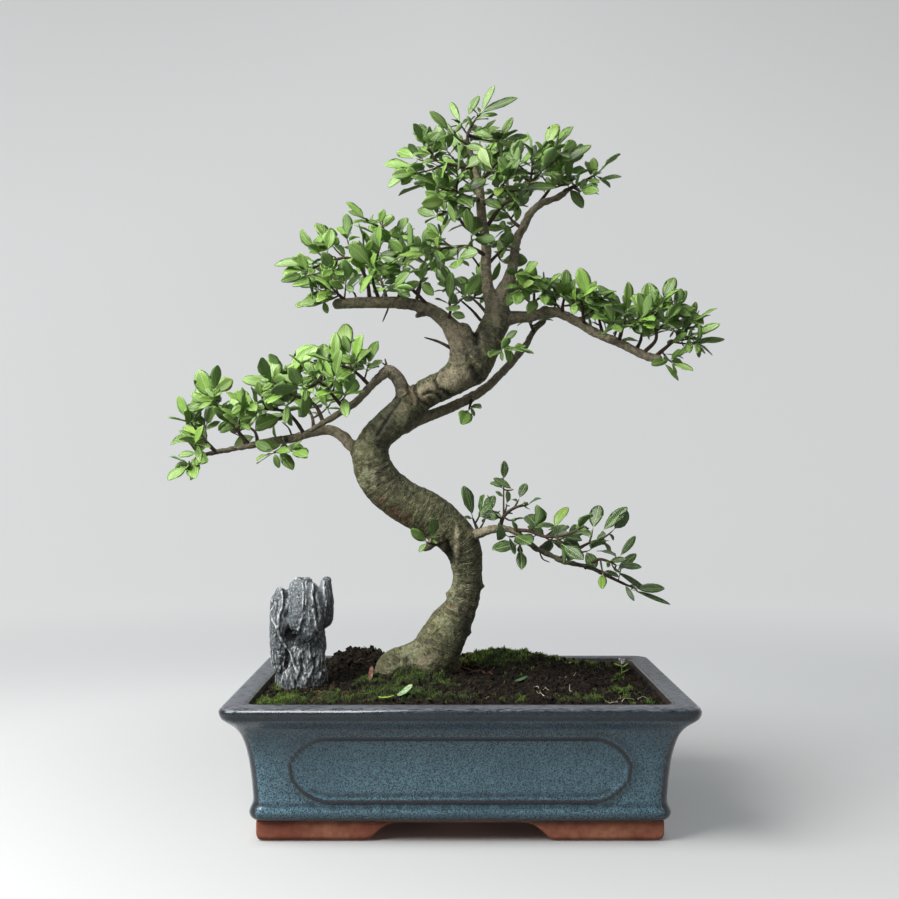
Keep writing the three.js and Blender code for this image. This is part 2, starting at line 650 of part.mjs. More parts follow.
// A repeatable stream of numbers from 0 to 1 (mulberry32), started by a whole number
function stream(key) {
  let state = Math.imul(key + 1, 0x9e3779b1) >>> 0;
  return () => {
    state = (state + 0x6d2b79f5) >>> 0;
    let mixed = Math.imul(state ^ (state >>> 15), 1 | state);
    mixed = (mixed + Math.imul(mixed ^ (mixed >>> 7), 61 | mixed)) ^ mixed;
    return ((mixed ^ (mixed >>> 14)) >>> 0) / 4294967296;
  };
}

// Point and direction at a distance along a chain of points
function alongChain(chain, distance) {
  let left = distance;
  for (let i = 1; i < chain.length; i += 1) {
    const step = chain[i].distanceTo(chain[i - 1]);
    if (left <= step || i === chain.length - 1) {
      const direction = chain[i].clone().sub(chain[i - 1]).normalize();
      return { point: chain[i - 1].clone().addScaledVector(direction, left), direction };
    }
    left -= step;
  }
  return null;
}

const chainLength = (chain) => chain.slice(1).reduce((sum, p, i) => sum + p.distanceTo(chain[i]), 0);

// Where a shoot leaves its stem: before the stem's nearest point to the shoot's tip, by half the
// gap, but not on the stem's first fifth
function forkPoint(chain, tip) {
  const total = chainLength(chain);
  const samples = 40;
  let nearest = 0;
  let gap = Infinity;
  for (let i = 0; i <= samples; i += 1) {
    const distance = total * i / samples;
    const away = alongChain(chain, distance).point.distanceTo(tip);
    if (away < gap) {
      gap = away;
      nearest = distance;
    }
  }
  return alongChain(chain, Math.max(nearest - gap / 2, total / 5)).point;
}

// A thin plate through the points of an outline. `faces` are the triangles of its upper side.
function plate(outline, faces) {
  const count = outline.length;
  const upper = outline.map(({ at, up }) => at.clone().add(up));
  const lower = outline.map(({ at, up }) => at.clone().sub(up));
  const index = [];
  for (const [a, b, c] of faces) index.push(a, b, c, count + a, count + c, count + b);
  for (let i = 0; i < count; i += 1) {
    const next = (i + 1) % count;
    index.push(i, count + i, count + next, i, count + next, next);
  }
  const geometry = new THREE.BufferGeometry().setFromPoints([...upper, ...lower]);
  return solid(geometry.setIndex(index));
}

// Outline of a leaf blade from one side of its foot, round its tip, to the other side.
// The blade folds up along its midrib.
function bladeOutline({ base, direction, normal, length, width }, room = 0) {
  const side = direction.clone().cross(normal);
  const up = normal.clone().multiplyScalar(LEAF_THICKNESS / 2 + room);
  const half = width / 2 + room;
  const [near, far] = BLADE_SHOULDERS;
  const spots = [[near, half], [far, half], [1 + room / length, 0], [far, -half], [near, -half]];
  return spots.map(([along, out]) => ({
    up,
    at: base.clone()
      .addScaledVector(direction, along * length)
      .addScaledVector(side, out)
      .addScaledVector(normal, Math.abs(out) * LEAF_FOLD),
  }));
}

// A leaf that grows straight from a twig, with its foot in the twig's middle
function sideLeaf(leaf, room = 0) {
  const outline = bladeOutline(leaf, room);
  outline.unshift({ at: leaf.base, up: outline[0].up });
  return plate(outline, [[0, 1, 3], [1, 2, 3], [3, 4, 5], [3, 5, 0]]);
}

// The outer part of a blade, which no leaf of its own spray may touch
function outerBlade(leaf, room) {
  return plate(bladeOutline(leaf, room), [[0, 1, 2], [2, 3, 4], [2, 4, 0]]);
}

// A shoot and its last leaf in one
function leafyShoot(from, to, leaf) {
  const along = to.clone().sub(from).normalize();
  const up = leaf.normal.clone().addScaledVector(along, -leaf.normal.dot(along)).normalize();
  const side = along.clone().cross(up);
  const corner = (at, out) => ({
    at: at.clone().addScaledVector(side, out),
    up: up.clone().multiplyScalar(Math.abs(out)),
  });
  const outline = [
    corner(from, SHOOT_RADIUS), corner(to, SHOOT_TIP_RADIUS),
    ...bladeOutline(leaf),
    corner(to, -SHOOT_TIP_RADIUS), corner(from, -SHOOT_RADIUS),
  ];
  return plate(outline, [[0, 1, 7], [0, 7, 8], [1, 4, 7], [1, 2, 4], [2, 3, 4], [4, 5, 6], [4, 6, 7]]);
}

// Draws one leaf at a place on its twig. `turn` is the side that it grows to, 0 for a last leaf.
function drawLeaf(key, place, turn, attempt) {
  const next = stream(key * 8 + attempt);
  const draw = ([low, high]) => low + (high - low) * next();
  const along = place.direction;
  const upright = UP.clone().addScaledVector(TO_FRONT, 0.25);
  const above = upright.addScaledVector(along, -upright.dot(along)).normalize();
  const beside = along.clone().cross(above);
  const azimuth = turn * Math.PI / 2 + draw(TURN_RANGE);
  const tilt = draw(turn === 0 ? TIP_TILT_RANGE : SIDE_TILT_RANGE);
  const outward = above.clone().multiplyScalar(Math.cos(azimuth)).addScaledVector(beside, Math.sin(azimuth));
  const direction = along.clone().multiplyScalar(Math.cos(tilt)).addScaledVector(outward, Math.sin(tilt));
  direction.addScaledVector(UP, LEAF_RISE).normalize();
  const facing = new THREE.Vector3(draw(FACING_RANGE), draw(FACING_RANGE), draw(FACING_RANGE))
    .addScaledVector(UP, FACE_UP).addScaledVector(TO_FRONT, FACE_FRONT);
  const normal = facing.addScaledVector(direction, -facing.dot(direction)).normalize();
  const size = draw(turn === 0 ? TIP_SIZE_RANGE : SIDE_SIZE_RANGE);
  const length = LEAF_LENGTH * size * (attempt < FULL_SIZE_ATTEMPTS ? 1 : SMALLER_LEAF);
  const width = length * (LEAF_SLIMNESS + draw(SLIMNESS_RANGE));
  return { base: place.point, direction, normal, length, width };
}

// Solids already placed, with the spray each belongs to
const placed = [];

function place(owner, body) {
  placed.push({ owner, body, box: body.boundingBox() });
}

function boxesTouch(a, b) {
  return [0, 1, 2].every((axis) => a.min[axis] <= b.max[axis] && b.min[axis] <= a.max[axis]);
}

function meets(body, chosen) {
  const box = body.boundingBox();
  return placed.some((other) => chosen(other) && boxesTouch(box, other.box)
    && !body.intersect(other.body).isEmpty());
}

// A leaf is free if it stays off other sprays, and its outer part off its own spray too
function isFree(owner, leaf) {
  return !meets(sideLeaf(leaf, LEAF_ROOM), (other) => other.owner !== owner)
    && !meets(outerBlade(leaf, LEAF_ROOM), (other) => other.owner === owner);
}

// The first free leaf of a few draws, or null
function findLeaf(key, spot, turn, owner) {
  for (let attempt = 0; attempt < LEAF_ATTEMPTS; attempt += 1) {
    const leaf = drawLeaf(key, spot, turn, attempt);
    if (isFree(owner, leaf)) return leaf;
  }
  return null;
}

// The twigs of a spray: its stem as a tube up to its last point but one, and its shoots
function makeTwigs({ stem, shoots }) {
  const tapered = stem.slice(0, -1).map((point, i) => [
    ...point, THREE.MathUtils.lerp(STEM_RADIUS, STEM_TIP_RADIUS, i / (stem.length - 1)),
  ]);
  const chain = smooth(stem).getPoints(CHAIN_STEPS_PER_SPAN * (stem.length - 1));
  const [lastButOne, to] = stem.slice(-2).map(vector);
  const from = lastButOne.clone().addScaledVector(to.clone().sub(lastButOne).normalize(), -1);
  const twigs = [{ chain, from, to, bare: STEM_BARE_SHARE }];
  for (const tip of shoots) {
    const fork = forkPoint(chain, vector(tip));
    twigs.push({ chain: [fork, vector(tip)], from: fork, to: vector(tip), bare: SHOOT_BARE_SHARE });
  }
  for (const twig of twigs) {
    const rod = [[...twig.from.toArray(), SHOOT_RADIUS], [...twig.to.toArray(), SHOOT_TIP_RADIUS]];
    twig.rod = limb(rod, 3, 1);
  }
  return { tube: limb(tapered, 4, 1), twigs };
}

// A twig with its leaves: one at its tip, then on alternate sides back to its bare part
function dressTwig(owner, number, twig) {
  const length = chainLength(twig.chain);
  const key = (owner * 16 + number) * 16;
  const tipSpot = { point: twig.to, direction: twig.to.clone().sub(twig.from).normalize() };
  const last = findLeaf(key, tipSpot, 0, owner);
  const bodies = [twig.rod];
  if (last) {
    place(owner, sideLeaf(last));
    bodies[0] = leafyShoot(twig.from, twig.to, last);
  }
  const sideLeaves = Math.floor(length * (1 - twig.bare) / LEAF_SPACING);
  for (let i = 1; i <= sideLeaves; i += 1) {
    const spot = alongChain(twig.chain, length - (i - 0.5) * LEAF_SPACING);
    const leaf = findLeaf(key + i, spot, (i + number) % 2 * 2 - 1, owner);
    if (leaf) {
      bodies.push(sideLeaf(leaf));
      place(owner, bodies.at(-1));
    }
  }
  return bodies;
}

// Build

addPiece('pot', tidy(makePot()), 0x3f6076, 0.3);
addPiece('drain_screen_left', makeScreen(-DRAIN_HOLE_X), 0x23262a, 0.6);
addPiece('drain_screen_right', makeScreen(DRAIN_HOLE_X), 0x23262a, 0.6);
addPiece('soil', tidy(makeSoil()), 0x3a2a1e, 0.95);
addPiece('stone', tidy(makeStone()), 0x6d747a, 0.8);
const trunk = tidy(makeTrunk());
addPiece('trunk', trunk, 0x6f6a4f, 0.85);

place('trunk', trunk);
const sprays = Object.entries(SPRAYS).map(([name, spray]) => ({ name, ...makeTwigs(spray) }));
sprays.forEach(({ tube, twigs }, owner) => {
  place(owner, tube);
  twigs.forEach((twig) => place(owner, twig.rod));
});
const grownTrunk = makeTrunk(CLEARANCE);
sprays.forEach(({ name, tube, twigs }, owner) => {
  const grown = twigs.flatMap((twig, number) => dressTwig(owner, number, twig));
  const spray = wasm.Manifold.union([tube, ...grown]).subtract(grownTrunk);
  addPiece(`spray_${name}`, tidy(spray), 0x4f8a35, 0.6);
});

export default tree;
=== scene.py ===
# A chinese elm bonsai in its glazed pot, with an eroded upright stone beside the trunk.
# Metres, +Z up, +Y away from the front. The shapes are given in millimetres about the middle
# of the pot, and each finished mesh is scaled and moved to its place in the frame.
import math
import random

import bmesh
import bpy
import numpy as np
from mathutils import Matrix, Vector, noise
from mathutils.kdtree import KDTree


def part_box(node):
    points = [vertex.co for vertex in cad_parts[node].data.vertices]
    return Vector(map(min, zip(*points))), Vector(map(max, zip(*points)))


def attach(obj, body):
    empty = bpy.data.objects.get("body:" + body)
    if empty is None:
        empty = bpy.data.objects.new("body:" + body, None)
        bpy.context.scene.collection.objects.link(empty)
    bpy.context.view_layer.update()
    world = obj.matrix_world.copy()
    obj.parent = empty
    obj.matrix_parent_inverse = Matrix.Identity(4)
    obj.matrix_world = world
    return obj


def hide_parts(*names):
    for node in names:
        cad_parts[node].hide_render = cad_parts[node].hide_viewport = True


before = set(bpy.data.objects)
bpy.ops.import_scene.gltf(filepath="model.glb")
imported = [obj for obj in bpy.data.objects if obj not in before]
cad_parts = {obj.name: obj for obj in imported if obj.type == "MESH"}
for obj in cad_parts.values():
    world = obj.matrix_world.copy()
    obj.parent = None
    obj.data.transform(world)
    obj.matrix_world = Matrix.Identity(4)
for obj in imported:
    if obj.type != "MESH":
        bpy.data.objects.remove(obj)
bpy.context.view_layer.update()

# The studio: a seamless pale sweep all round, a large soft light high on the left in front with a
# narrow one beside it for gloss, weak ones on the right and at the wall behind, and a camera
# 757 mm in front of the pot's middle and 195 mm above the floor.
pot_low, pot_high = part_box("pot")
pot_middle = (pot_low.x + pot_high.x) / 2
TO_FRAME = Matrix.Translation((pot_middle, 0, 0)) @ Matrix.Scale(0.001, 4)


class Surface:
    """A material, with its nodes made by one method."""

    def __init__(self, name):
        self.material = bpy.data.materials.new(name)
        self.material.use_nodes = True
        self.tree = self.material.node_tree
        self.shader = self.tree.nodes["Principled BSDF"]

    def node(self, kind, settings=None, inputs=None, output=0):
        """One node: its settings are set first, then the values or links of its sockets."""
        made = self.tree.nodes.new(kind)
        for name, value in (settings or {}).items():
            setattr(made, name, value)
        for name, value in (inputs or {}).items():
            self.feed(made.inputs[name], value)
        return Signal(self, made.outputs[output])

    def feed(self, socket, value):
        if isinstance(value, Signal):
            self.tree.links.new(value.socket, socket)
        elif socket.type == "RGBA" and len(value) == 3:
            socket.default_value = (*value, 1)
        else:
            socket.default_value = value

    def place(self):
        """Where a point lies on the object, in metres."""
        return self.node("ShaderNodeTexCoord", output="Object")

    def attribute(self, name, output="Fac"):
        return self.node("ShaderNodeAttribute", {"attribute_name": name}, output=output)

    def grain(self, where, scale, detail=3, roughness=0.55, distortion=0.0):
        """Cloudy noise from 0 to 1, with `scale` features in a metre."""
        inputs = {"Vector": where, "Scale": scale, "Detail": detail, "Roughness": roughness,
                  "Distortion": distortion}
        return self.node("ShaderNodeTexNoise", None, inputs)

    def cells(self, where, scale, output="Distance"):
        return self.node("ShaderNodeTexVoronoi", None, {"Vector": where, "Scale": scale}, output)

    def stretched(self, where, factors):
        """The same places with the pattern stretched or squeezed along each axis."""
        return self.node("ShaderNodeMapping", None, {"Vector": where, "Scale": factors})

    def mix(self, share, first, second):
        """From the first colour at 0 to the second at 1."""
        return self.node("ShaderNodeMix", {"data_type": "RGBA"},
                         {0: share, 6: first, 7: second}, output=2)

    def relief(self, height, distance, coarser=None):
        """Bump from a height of 0 to 1 that stands for `distance` metres, over a coarser bump."""
        inputs = {"Height": height, "Distance": distance, "Strength": 1.0}
        if coarser:
            inputs["Normal"] = coarser
        return self.node("ShaderNodeBump", None, inputs)

    def finish(self, **sockets):
        """Sets the shader's sockets, named in lower case with _ for a space."""
        for name, value in sockets.items():
            self.feed(self.shader.inputs[SOCKET_NAMES[name]], value)
        return self.material


SOCKET_NAMES = {
    "colour": "Base Color", "roughness": "Roughness", "normal": "Normal", "coat": "Coat Weight",
    "coat_roughness": "Coat Roughness", "specular": "Specular IOR Level",
    "sheen": "Sheen Weight", "glow": "Emission Color",
    "glow_strength": "Emission Strength", "depth": "Subsurface Weight",
    "depth_radius": "Subsurface Radius", "depth_scale": "Subsurface Scale",
}


class Signal:
    """A number or colour that varies over a surface. Arithmetic on it adds Math nodes."""

    def __init__(self, surface, socket):
        self.surface = surface
        self.socket = socket

    def math(self, operation, first, second=0.0):
        return self.surface.node("ShaderNodeMath", {"operation": operation}, {0: first, 1: second})

    def __add__(self, other):
        return self.math("ADD", self, other)

    __radd__ = __add__

    def __sub__(self, other):
        return self.math("SUBTRACT", self, other)

    def __rsub__(self, other):
        return self.math("SUBTRACT", other, self)

    def __mul__(self, other):
        return self.math("MULTIPLY", self, other)

    __rmul__ = __mul__

    def __pow__(self, other):
        return self.math("POWER", self, other)

    def wave(self):
        return self.math("SINE", self)

    def size(self):
        return self.math("ABSOLUTE", self)

    def between(self, low, high):
        """0 below `low`, 1 above `high`, and a smooth rise between them."""
        inputs = {"Value": self, "From Min": low, "From Max": high}
        return self.surface.node("ShaderNodeMapRange", {"interpolation_type": "SMOOTHSTEP"}, inputs)

    def part(self, axis):
        """The X, Y or Z part of a vector."""
        return self.surface.node("ShaderNodeSeparateXYZ", None, {"Vector": self}, output=axis)


def paint(hex_colour):
    """A screen colour such as 8a4f3e as the linear light that a shader takes."""
    channels = [int(hex_colour[i:i + 2], 16) / 255 for i in (0, 2, 4)]
    return tuple(c / 12.92 if c <= 0.04045 else ((c + 0.055) / 1.055) ** 2.4 for c in channels)


def make_camera():
    lens = bpy.data.cameras.new("camera")
    lens.lens = 51.2
    lens.sensor_width = 36
    lens.clip_start = 0.02
    camera = bpy.data.objects.new("camera", lens)
    bpy.context.collection.objects.link(camera)
    camera.location = (pot_middle - 0.0056, -0.757, 0.195)
    camera.rotation_euler = (math.radians(91.0), 0, 0)
    bpy.context.scene.camera = camera


def make_sweep():
    """A round floor that turns up into a wall on every side."""
    floor_radius, bend_radius, wall_top, steps = 1.3, 1.0, 3.6, 10
    bpy.ops.object.select_all(action="DESELECT")
    bpy.ops.mesh.primitive_circle_add(vertices=96, radius=floor_radius, fill_type="NGON")
    sweep = bpy.context.active_object
    sweep.name = "studio_sweep"
    bpy.ops.object.mode_set(mode="EDIT")
    bpy.ops.mesh.select_all(action="SELECT")
    bpy.ops.mesh.region_to_loop()
    radius, height = floor_radius, 0.0
    turns = [math.radians(90 * (i + 1) / steps) for i in range(steps)]
    rings = [(floor_radius + bend_radius * math.sin(a), bend_radius * (1 - math.cos(a))) for a in turns]
    for next_radius, next_height in [*rings, (rings[-1][0], wall_top)]:
        bpy.ops.mesh.extrude_edges_move(TRANSFORM_OT_translate={"value": (0, 0, next_height - height)})
        share = next_radius / radius
        bpy.ops.transform.resize(value=(share, share, 1))
        radius, height = next_radius, next_height
    bpy.ops.object.mode_set(mode="OBJECT")
    bpy.ops.object.shade_smooth()
    card = Surface("studio_card")
    where = card.place()
    away = (where.part("X") ** 2 + (where.part("Y") - 0.04) ** 2) ** 0.5
    corner = where.part("Z") + where.part("X").size() * 0.6
    # The card glows as painted light: black under the pot as a painted shadow, dim close round it, brighter
    # further out, and dimmer again up in the corners as painted shade.
    shade = (0.004, 0.004, 0.004)
    glow = card.mix(away.between(0.05, 0.14), shade, (0.17, 0.176, 0.178))
    glow = card.mix(away.between(0.1, 0.42), glow, (0.328, 0.34, 0.345))
    glow = card.mix(away.between(0.5, 1.25), glow, (0.47, 0.48, 0.482))
    glow = card.mix(corner.between(1.1, 2.2), glow, (0.352, 0.354, 0.356))
    # A painted shadow under the pot.
    shadow_under_pot_x = 1 - (where.part("X") - pot_middle).size().between(0.1, 0.114)
    shadow_under_pot = shadow_under_pot_x * (1 - where.part("Y").size().between(0.072, 0.094))
    glow = card.mix(shadow_under_pot, glow, shade)
    sweep.data.materials.append(card.finish(colour=(0.42, 0.424, 0.424), roughness=0.9, specular=0.1,
                                            glow=glow, glow_strength=1.0))
    sweep.visible_diffuse = False


def make_light(name, place, target, side, power, colour, depth=None):
    lamp = bpy.data.lights.new(name, "AREA")
    lamp.shape = "RECTANGLE"
    lamp.size = side
    lamp.size_y = depth or side
    lamp.energy = power
    lamp.color = colour
    light = bpy.data.objects.new(name, lamp)
    bpy.context.collection.objects.link(light)
    light.location = place
    light.visible_camera = False
    light.visible_diffuse = not name.startswith("strip")
    light.rotation_euler = (Vector(target) - Vector(place)).to_track_quat("-Z", "Y").to_euler()


make_camera()
make_sweep()
make_light("key_light", (-0.52, -0.33, 0.7), (0, 0, 0.2), 0.6, 14, (1.0, 0.993, 0.98))
make_light("strip_light", (-0.187, -0.62, 0.95), (-0.1, 0, 0.1), 0.21, 9, (1.0, 1.0, 1.0), 0.7)
make_light("fill_light", (1.2, -0.9, 0.9), (0, 0, 0.2), 1.2, 0.5, (0.95, 0.98, 1.0))
make_light("wall_light", (-1.2, 0.9, 1.2), (-0.3, 2.3, 0.7), 0.6, 6.5, (1.0, 1.0, 1.0))
world = bpy.data.worlds.new("studio_air")
world.use_nodes = True
world.node_tree.nodes["Background"].inputs["Color"].default_value = (0.96, 0.985, 1.0, 1)
world.node_tree.nodes["Background"].inputs["Strength"].default_value = 0.17
bpy.context.scene.world = world
bpy.context.scene.view_settings.view_transform = "Standard"

# The pot: one piece of stoneware, pressed in a mould, with a steel-blue glaze that pools dark in
# the hollows and breaks to brown on the raised edges. The four feet are left bare, and show the
# red clay. The wall and rim are pushed up ring by ring from the outline of the foot.
POT_HALF_WIDTH = 126
POT_HALF_DEPTH = 97.5
FOOT_HEIGHT = 11
FOOT_HALF_WIDTH = 107.8
FOOT_FLARE = 1.8
FOOT_THICKNESS = 17
FRONT_GAP = 97
SIDE_GAP = 76
OPENING_TOP = 9.9
OPENING_SLOPE = 20
DRAIN_HOLE_X = 55
DRAIN_HOLE_RADIUS = 9
FLOOR_TOP = 19
# Half width of the wall at each height, from the foot over the bead, the wall and the lip
POT_WALL = [
    (109.6, 11), (110.9, 12.2), (111.7, 14), (111.8, 16), (111.1, 18), (110.3, 20), (110.1, 22.5),
    (110.4, 27), (110.9, 33), (111.6, 39), (112.5, 45), (113.9, 51), (115.4, 55.5), (117, 58.6),
    (119.1, 61.3), (121.4, 63.4), (123.4, 65), (125.1, 66.8), (125.9, 69), (126, 70.5),
    (125.4, 71.8), (124.1, 72.7), (122.4, 73),
]
POT_INSIDE = [(113.6, 73), (112.5, 72.6), (111.9, 71.4), (111.3, 66), (106, 40), (102, FLOOR_TOP)]
# The raised outline of a panel on each side
PANEL_MIDDLE = 38.6
PANEL_HALF_HEIGHT = 17
PANEL_END_INSET = 36.6
PANEL_CORNER = (19, 15.6)
PANEL_ROUNDNESS = 1.62
RIDGE_HALF_WIDTH = 1.9
RIDGE_RISE = 1.1


def smooth_line(points, steps=0, spacing=1):
    """Points on a smooth line through the given ones, `steps` to a span or `spacing` apart."""
    spots = [Vector(point) for point in points]
    spots = [spots[0] * 2 - spots[1], *spots, spots[-1] * 2 - spots[-2]]
    line = []
    for a, b, c, d in zip(spots, spots[1:], spots[2:], spots[3:]):
        count = steps or max(1, round((c - b).length / spacing))
        for i in range(count):
            t = i / count
            line.append(0.5 * (2 * b + (c - a) * t + (2 * a - 5 * b + 4 * c - d) * t ** 2
                               + (3 * b - a - 3 * c + d) * t ** 3))
    return [*line, spots[-2]]


def to_frame(piece):
    """Scales a mesh that was made in millimetres about the pot's middle, and puts it in place."""
    piece.data.transform(TO_FRAME)
    piece.data.update()


def make_pot_body():
    bpy.ops.object.select_all(action="DESELECT")
    bpy.ops.mesh.primitive_plane_add(size=2)
    body = bpy.context.active_object
    bpy.ops.object.mode_set(mode="EDIT")
    rows = smooth_line(POT_WALL, spacing=1.05)
    less_deep = POT_HALF_WIDTH - POT_HALF_DEPTH
    bpy.ops.transform.resize(value=(rows[0].x, rows[0].x - less_deep, 1))
    bpy.ops.transform.translate(value=(0, 0, FOOT_HEIGHT))
    bpy.ops.mesh.bevel(affect="VERTICES", offset=8, segments=7)
    bpy.ops.mesh.delete(type="ONLY_FACE")
    shell = bmesh.from_edit_mesh(body.data)
    for shortest, columns in ((180, 216), (100, 156)):
        bpy.ops.mesh.select_all(action="DESELECT")
        for edge in [edge for edge in shell.edges if edge.calc_length() > shortest]:
            edge.select_set(True)
        bpy.ops.mesh.subdivide(number_cuts=columns)
    bpy.ops.mesh.select_all(action="SELECT")
    bpy.ops.mesh.edge_face_add()
    inside = [Vector(row) for row in POT_INSIDE]
    half, height = rows[0]
    for next_half, next_height in [*rows[1:], *inside]:
        rise = (0, 0, next_height - height)
        bpy.ops.mesh.extrude_region_move(TRANSFORM_OT_translate={"value": rise})
        deeper = (next_half - less_deep) / (half - less_deep)
        bpy.ops.transform.resize(value=(next_half / half, deeper, 1))
        half, height = next_half, next_height
    bpy.ops.mesh.select_all(action="SELECT")
    bpy.ops.mesh.normals_make_consistent(inside=False)
    bpy.ops.object.mode_set(mode="OBJECT")
    return body


def off_panel_outline(x, z, half_length):
    """How far a place on a wall lies from the middle of the panel's raised outline."""
    corner, corner_height = PANEL_CORNER
    tall = corner / corner_height
    out_x = np.abs(x) - (half_length - corner)
    out_z = (np.abs(z - PANEL_MIDDLE) - (PANEL_HALF_HEIGHT - corner_height)) * tall
    in_corner = (out_x > 0) & (out_z > 0)
    power = PANEL_ROUNDNESS
    over_x, over_z = np.maximum(out_x, 0), np.maximum(out_z, 0)
    reach = (over_x ** power + over_z ** power) ** (1 / power) + 1e-9
    away = np.where(in_corner, reach, np.maximum(out_x, out_z)) - corner
    lean_x = np.where(in_corner, (over_x / reach) ** (power - 1), out_x > out_z)
    lean_z = np.where(in_corner, (over_z / reach) ** (power - 1), out_x <= out_z) * tall
    return away / np.hypot(lean_x, lean_z)


def read_points(mesh):
    """The places of a mesh's vertices as rows of numbers."""
    points = np.empty(len(mesh.vertices) * 3)
    mesh.vertices.foreach_get("co", points)
    return points.reshape(-1, 3)


def mark_points(piece, name, values):
    """Keeps one number for each point of a piece, for its material."""
    piece.data.attributes.new(name, "FLOAT", "POINT").data.foreach_set("value", values)


def raise_panels(body):
    """Pushes the four panel outlines out of the wall, and marks thin and pooled glaze."""
    points = read_points(body.data)
    x, y, z = points.T
    on_wall = (z > 14) & (z < 62) & (np.maximum(np.abs(x) - 105, np.abs(y) - 75) > 0)
    wide = on_wall & (np.abs(y) - POT_HALF_DEPTH > np.abs(x) - POT_HALF_WIDTH)
    deep = on_wall & ~wide
    off = np.where(wide, off_panel_outline(x, z, POT_HALF_WIDTH - PANEL_END_INSET), 99)
    off = np.where(deep, off_panel_outline(y, z, POT_HALF_DEPTH - PANEL_END_INSET), off)
    ridge = np.maximum(1 - (off / RIDGE_HALF_WIDTH) ** 2, 0) ** 2
    points[:, 1] += np.where(wide, np.sign(y) * ridge * RIDGE_RISE, 0)
    points[:, 0] += np.where(deep, np.sign(x) * ridge * RIDGE_RISE, 0)
    body.data.vertices.foreach_set("co", points.ravel())
    half = np.interp(z, [row[1] for row in POT_WALL], [row[0] for row in POT_WALL])
    to_corner = np.hypot(np.abs(x) - half, np.abs(y) - half + POT_HALF_WIDTH - POT_HALF_DEPTH)
    corner = np.exp(-((to_corner - 3.4) / 1.1) ** 2) * (z > 12)
    thin = np.clip(ridge * 1.05 + corner, 0, 1)
    mark_points(body, "thin_glaze", thin)
    above = np.exp(-((z - 19.5) / 1.5) ** 2)
    inner_edge = np.where(off < 0, np.exp(-((off + 3.4) / 1.3) ** 2), 0) * (z < 28)
    outer_edge = np.where(off > 0, np.exp(-((off - 3.2) / 1.6) ** 2), 0) * 0.5
    mark_points(body, "pooled_glaze", np.clip(above * on_wall + inner_edge + outer_edge, 0, 1))


def block(size, place, top_share=1.0):
    """A block whose top is narrower along X by a share."""
    bpy.ops.object.select_all(action="DESELECT")
    bpy.ops.mesh.primitive_cube_add(size=1, location=place, scale=size)
    solid = bpy.context.active_object
    bpy.ops.object.mode_set(mode="EDIT")
    bpy.ops.mesh.select_all(action="DESELECT")
    shell = bmesh.from_edit_mesh(solid.data)
    for vertex in shell.verts:
        vertex.select = vertex.co.z > 0
    shell.select_flush(True)
    bpy.ops.transform.resize(value=(top_share, 1, 1))
    bpy.ops.object.mode_set(mode="OBJECT")
    bpy.ops.object.transform_apply()
    return solid


def select_only(*pieces):
    bpy.ops.object.select_all(action="DESELECT")
    for piece in pieces:
        piece.select_set(True)
    bpy.context.view_layer.objects.active = pieces[0]


def finish_with(piece, kind, **settings):
    """Gives a piece a modifier with these settings and applies it."""
    step = piece.modifiers.new(kind.lower(), kind)
    for name, value in settings.items():
        setattr(step, name, value)
    bpy.ops.object.modifier_apply(modifier=step.name)


def cut(piece, cutter):
    """Cuts a piece with another, which is then gone."""
    select_only(piece)
    finish_with(piece, "BOOLEAN", object=cutter, solver="EXACT")
    bpy.data.objects.remove(cutter)


def foot_opening(gap, length):
    """The opening between two feet, with ends that slope in towards the top."""
    wide, narrow = gap + OPENING_SLOPE, gap - OPENING_SLOPE
    opening = block((wide, length, 2 * OPENING_TOP), (0, 0, 0), narrow / wide)
    finish_with(opening, "BEVEL", width=5.5, segments=5, limit_method="ANGLE")
    return opening


def make_feet():
    """A ring of clay under the wall, opened between the feet and rubbed smooth at its edges."""
    foot, foot_deep = FOOT_HALF_WIDTH, FOOT_HALF_WIDTH - POT_HALF_WIDTH + POT_HALF_DEPTH
    ring = block((2 * foot, 2 * foot_deep, FOOT_HEIGHT + 1), (0, 0, FOOT_HEIGHT / 2 + 0.5))
    bpy.ops.object.mode_set(mode="EDIT")
    bpy.ops.mesh.select_all(action="DESELECT")
    shell = bmesh.from_edit_mesh(ring.data)
    for edge in shell.edges:
        edge.select_set(abs(edge.verts[0].co.z - edge.verts[1].co.z) > 5)
    bpy.ops.mesh.bevel(offset=8, segments=6)
    bpy.ops.mesh.select_all(action="DESELECT")
    for edge in shell.edges:
        edge.select_set(max(edge.verts[0].co.z, edge.verts[1].co.z) < 0.1)
    bpy.ops.mesh.bevel(offset=2.6, segments=3)
    bpy.ops.mesh.select_all(action="DESELECT")
    for face in shell.faces:
        face.select_set(face.normal.z > 0.9)
    bpy.ops.transform.resize(value=(1 + FOOT_FLARE / foot, 1 + FOOT_FLARE / foot_deep, 1))
    bpy.ops.object.mode_set(mode="OBJECT")
    walls = 2 * FOOT_THICKNESS
    cut(ring, block((2 * foot - walls, 2 * foot_deep - walls, 40), (0, 0, 10)))
    cut(ring, foot_opening(FRONT_GAP, 240))
    across = foot_opening(SIDE_GAP, 300)
    across.data.transform(Matrix.Rotation(math.pi / 2, 4, "Z"))
    cut(ring, across)
    select_only(ring)
    voxel_remesh(ring, 1.1)
    smooth_out(ring, 8)
    return ring


def voxel_remesh(piece, size):
    finish_with(piece, "REMESH", mode="VOXEL", voxel_size=size)


def smooth_out(piece, rounds, factor=0.5):
    finish_with(piece, "SMOOTH", iterations=rounds, factor=factor)


def join_pieces(pieces):
    select_only(*pieces)
    bpy.ops.object.join()
    return bpy.context.active_object


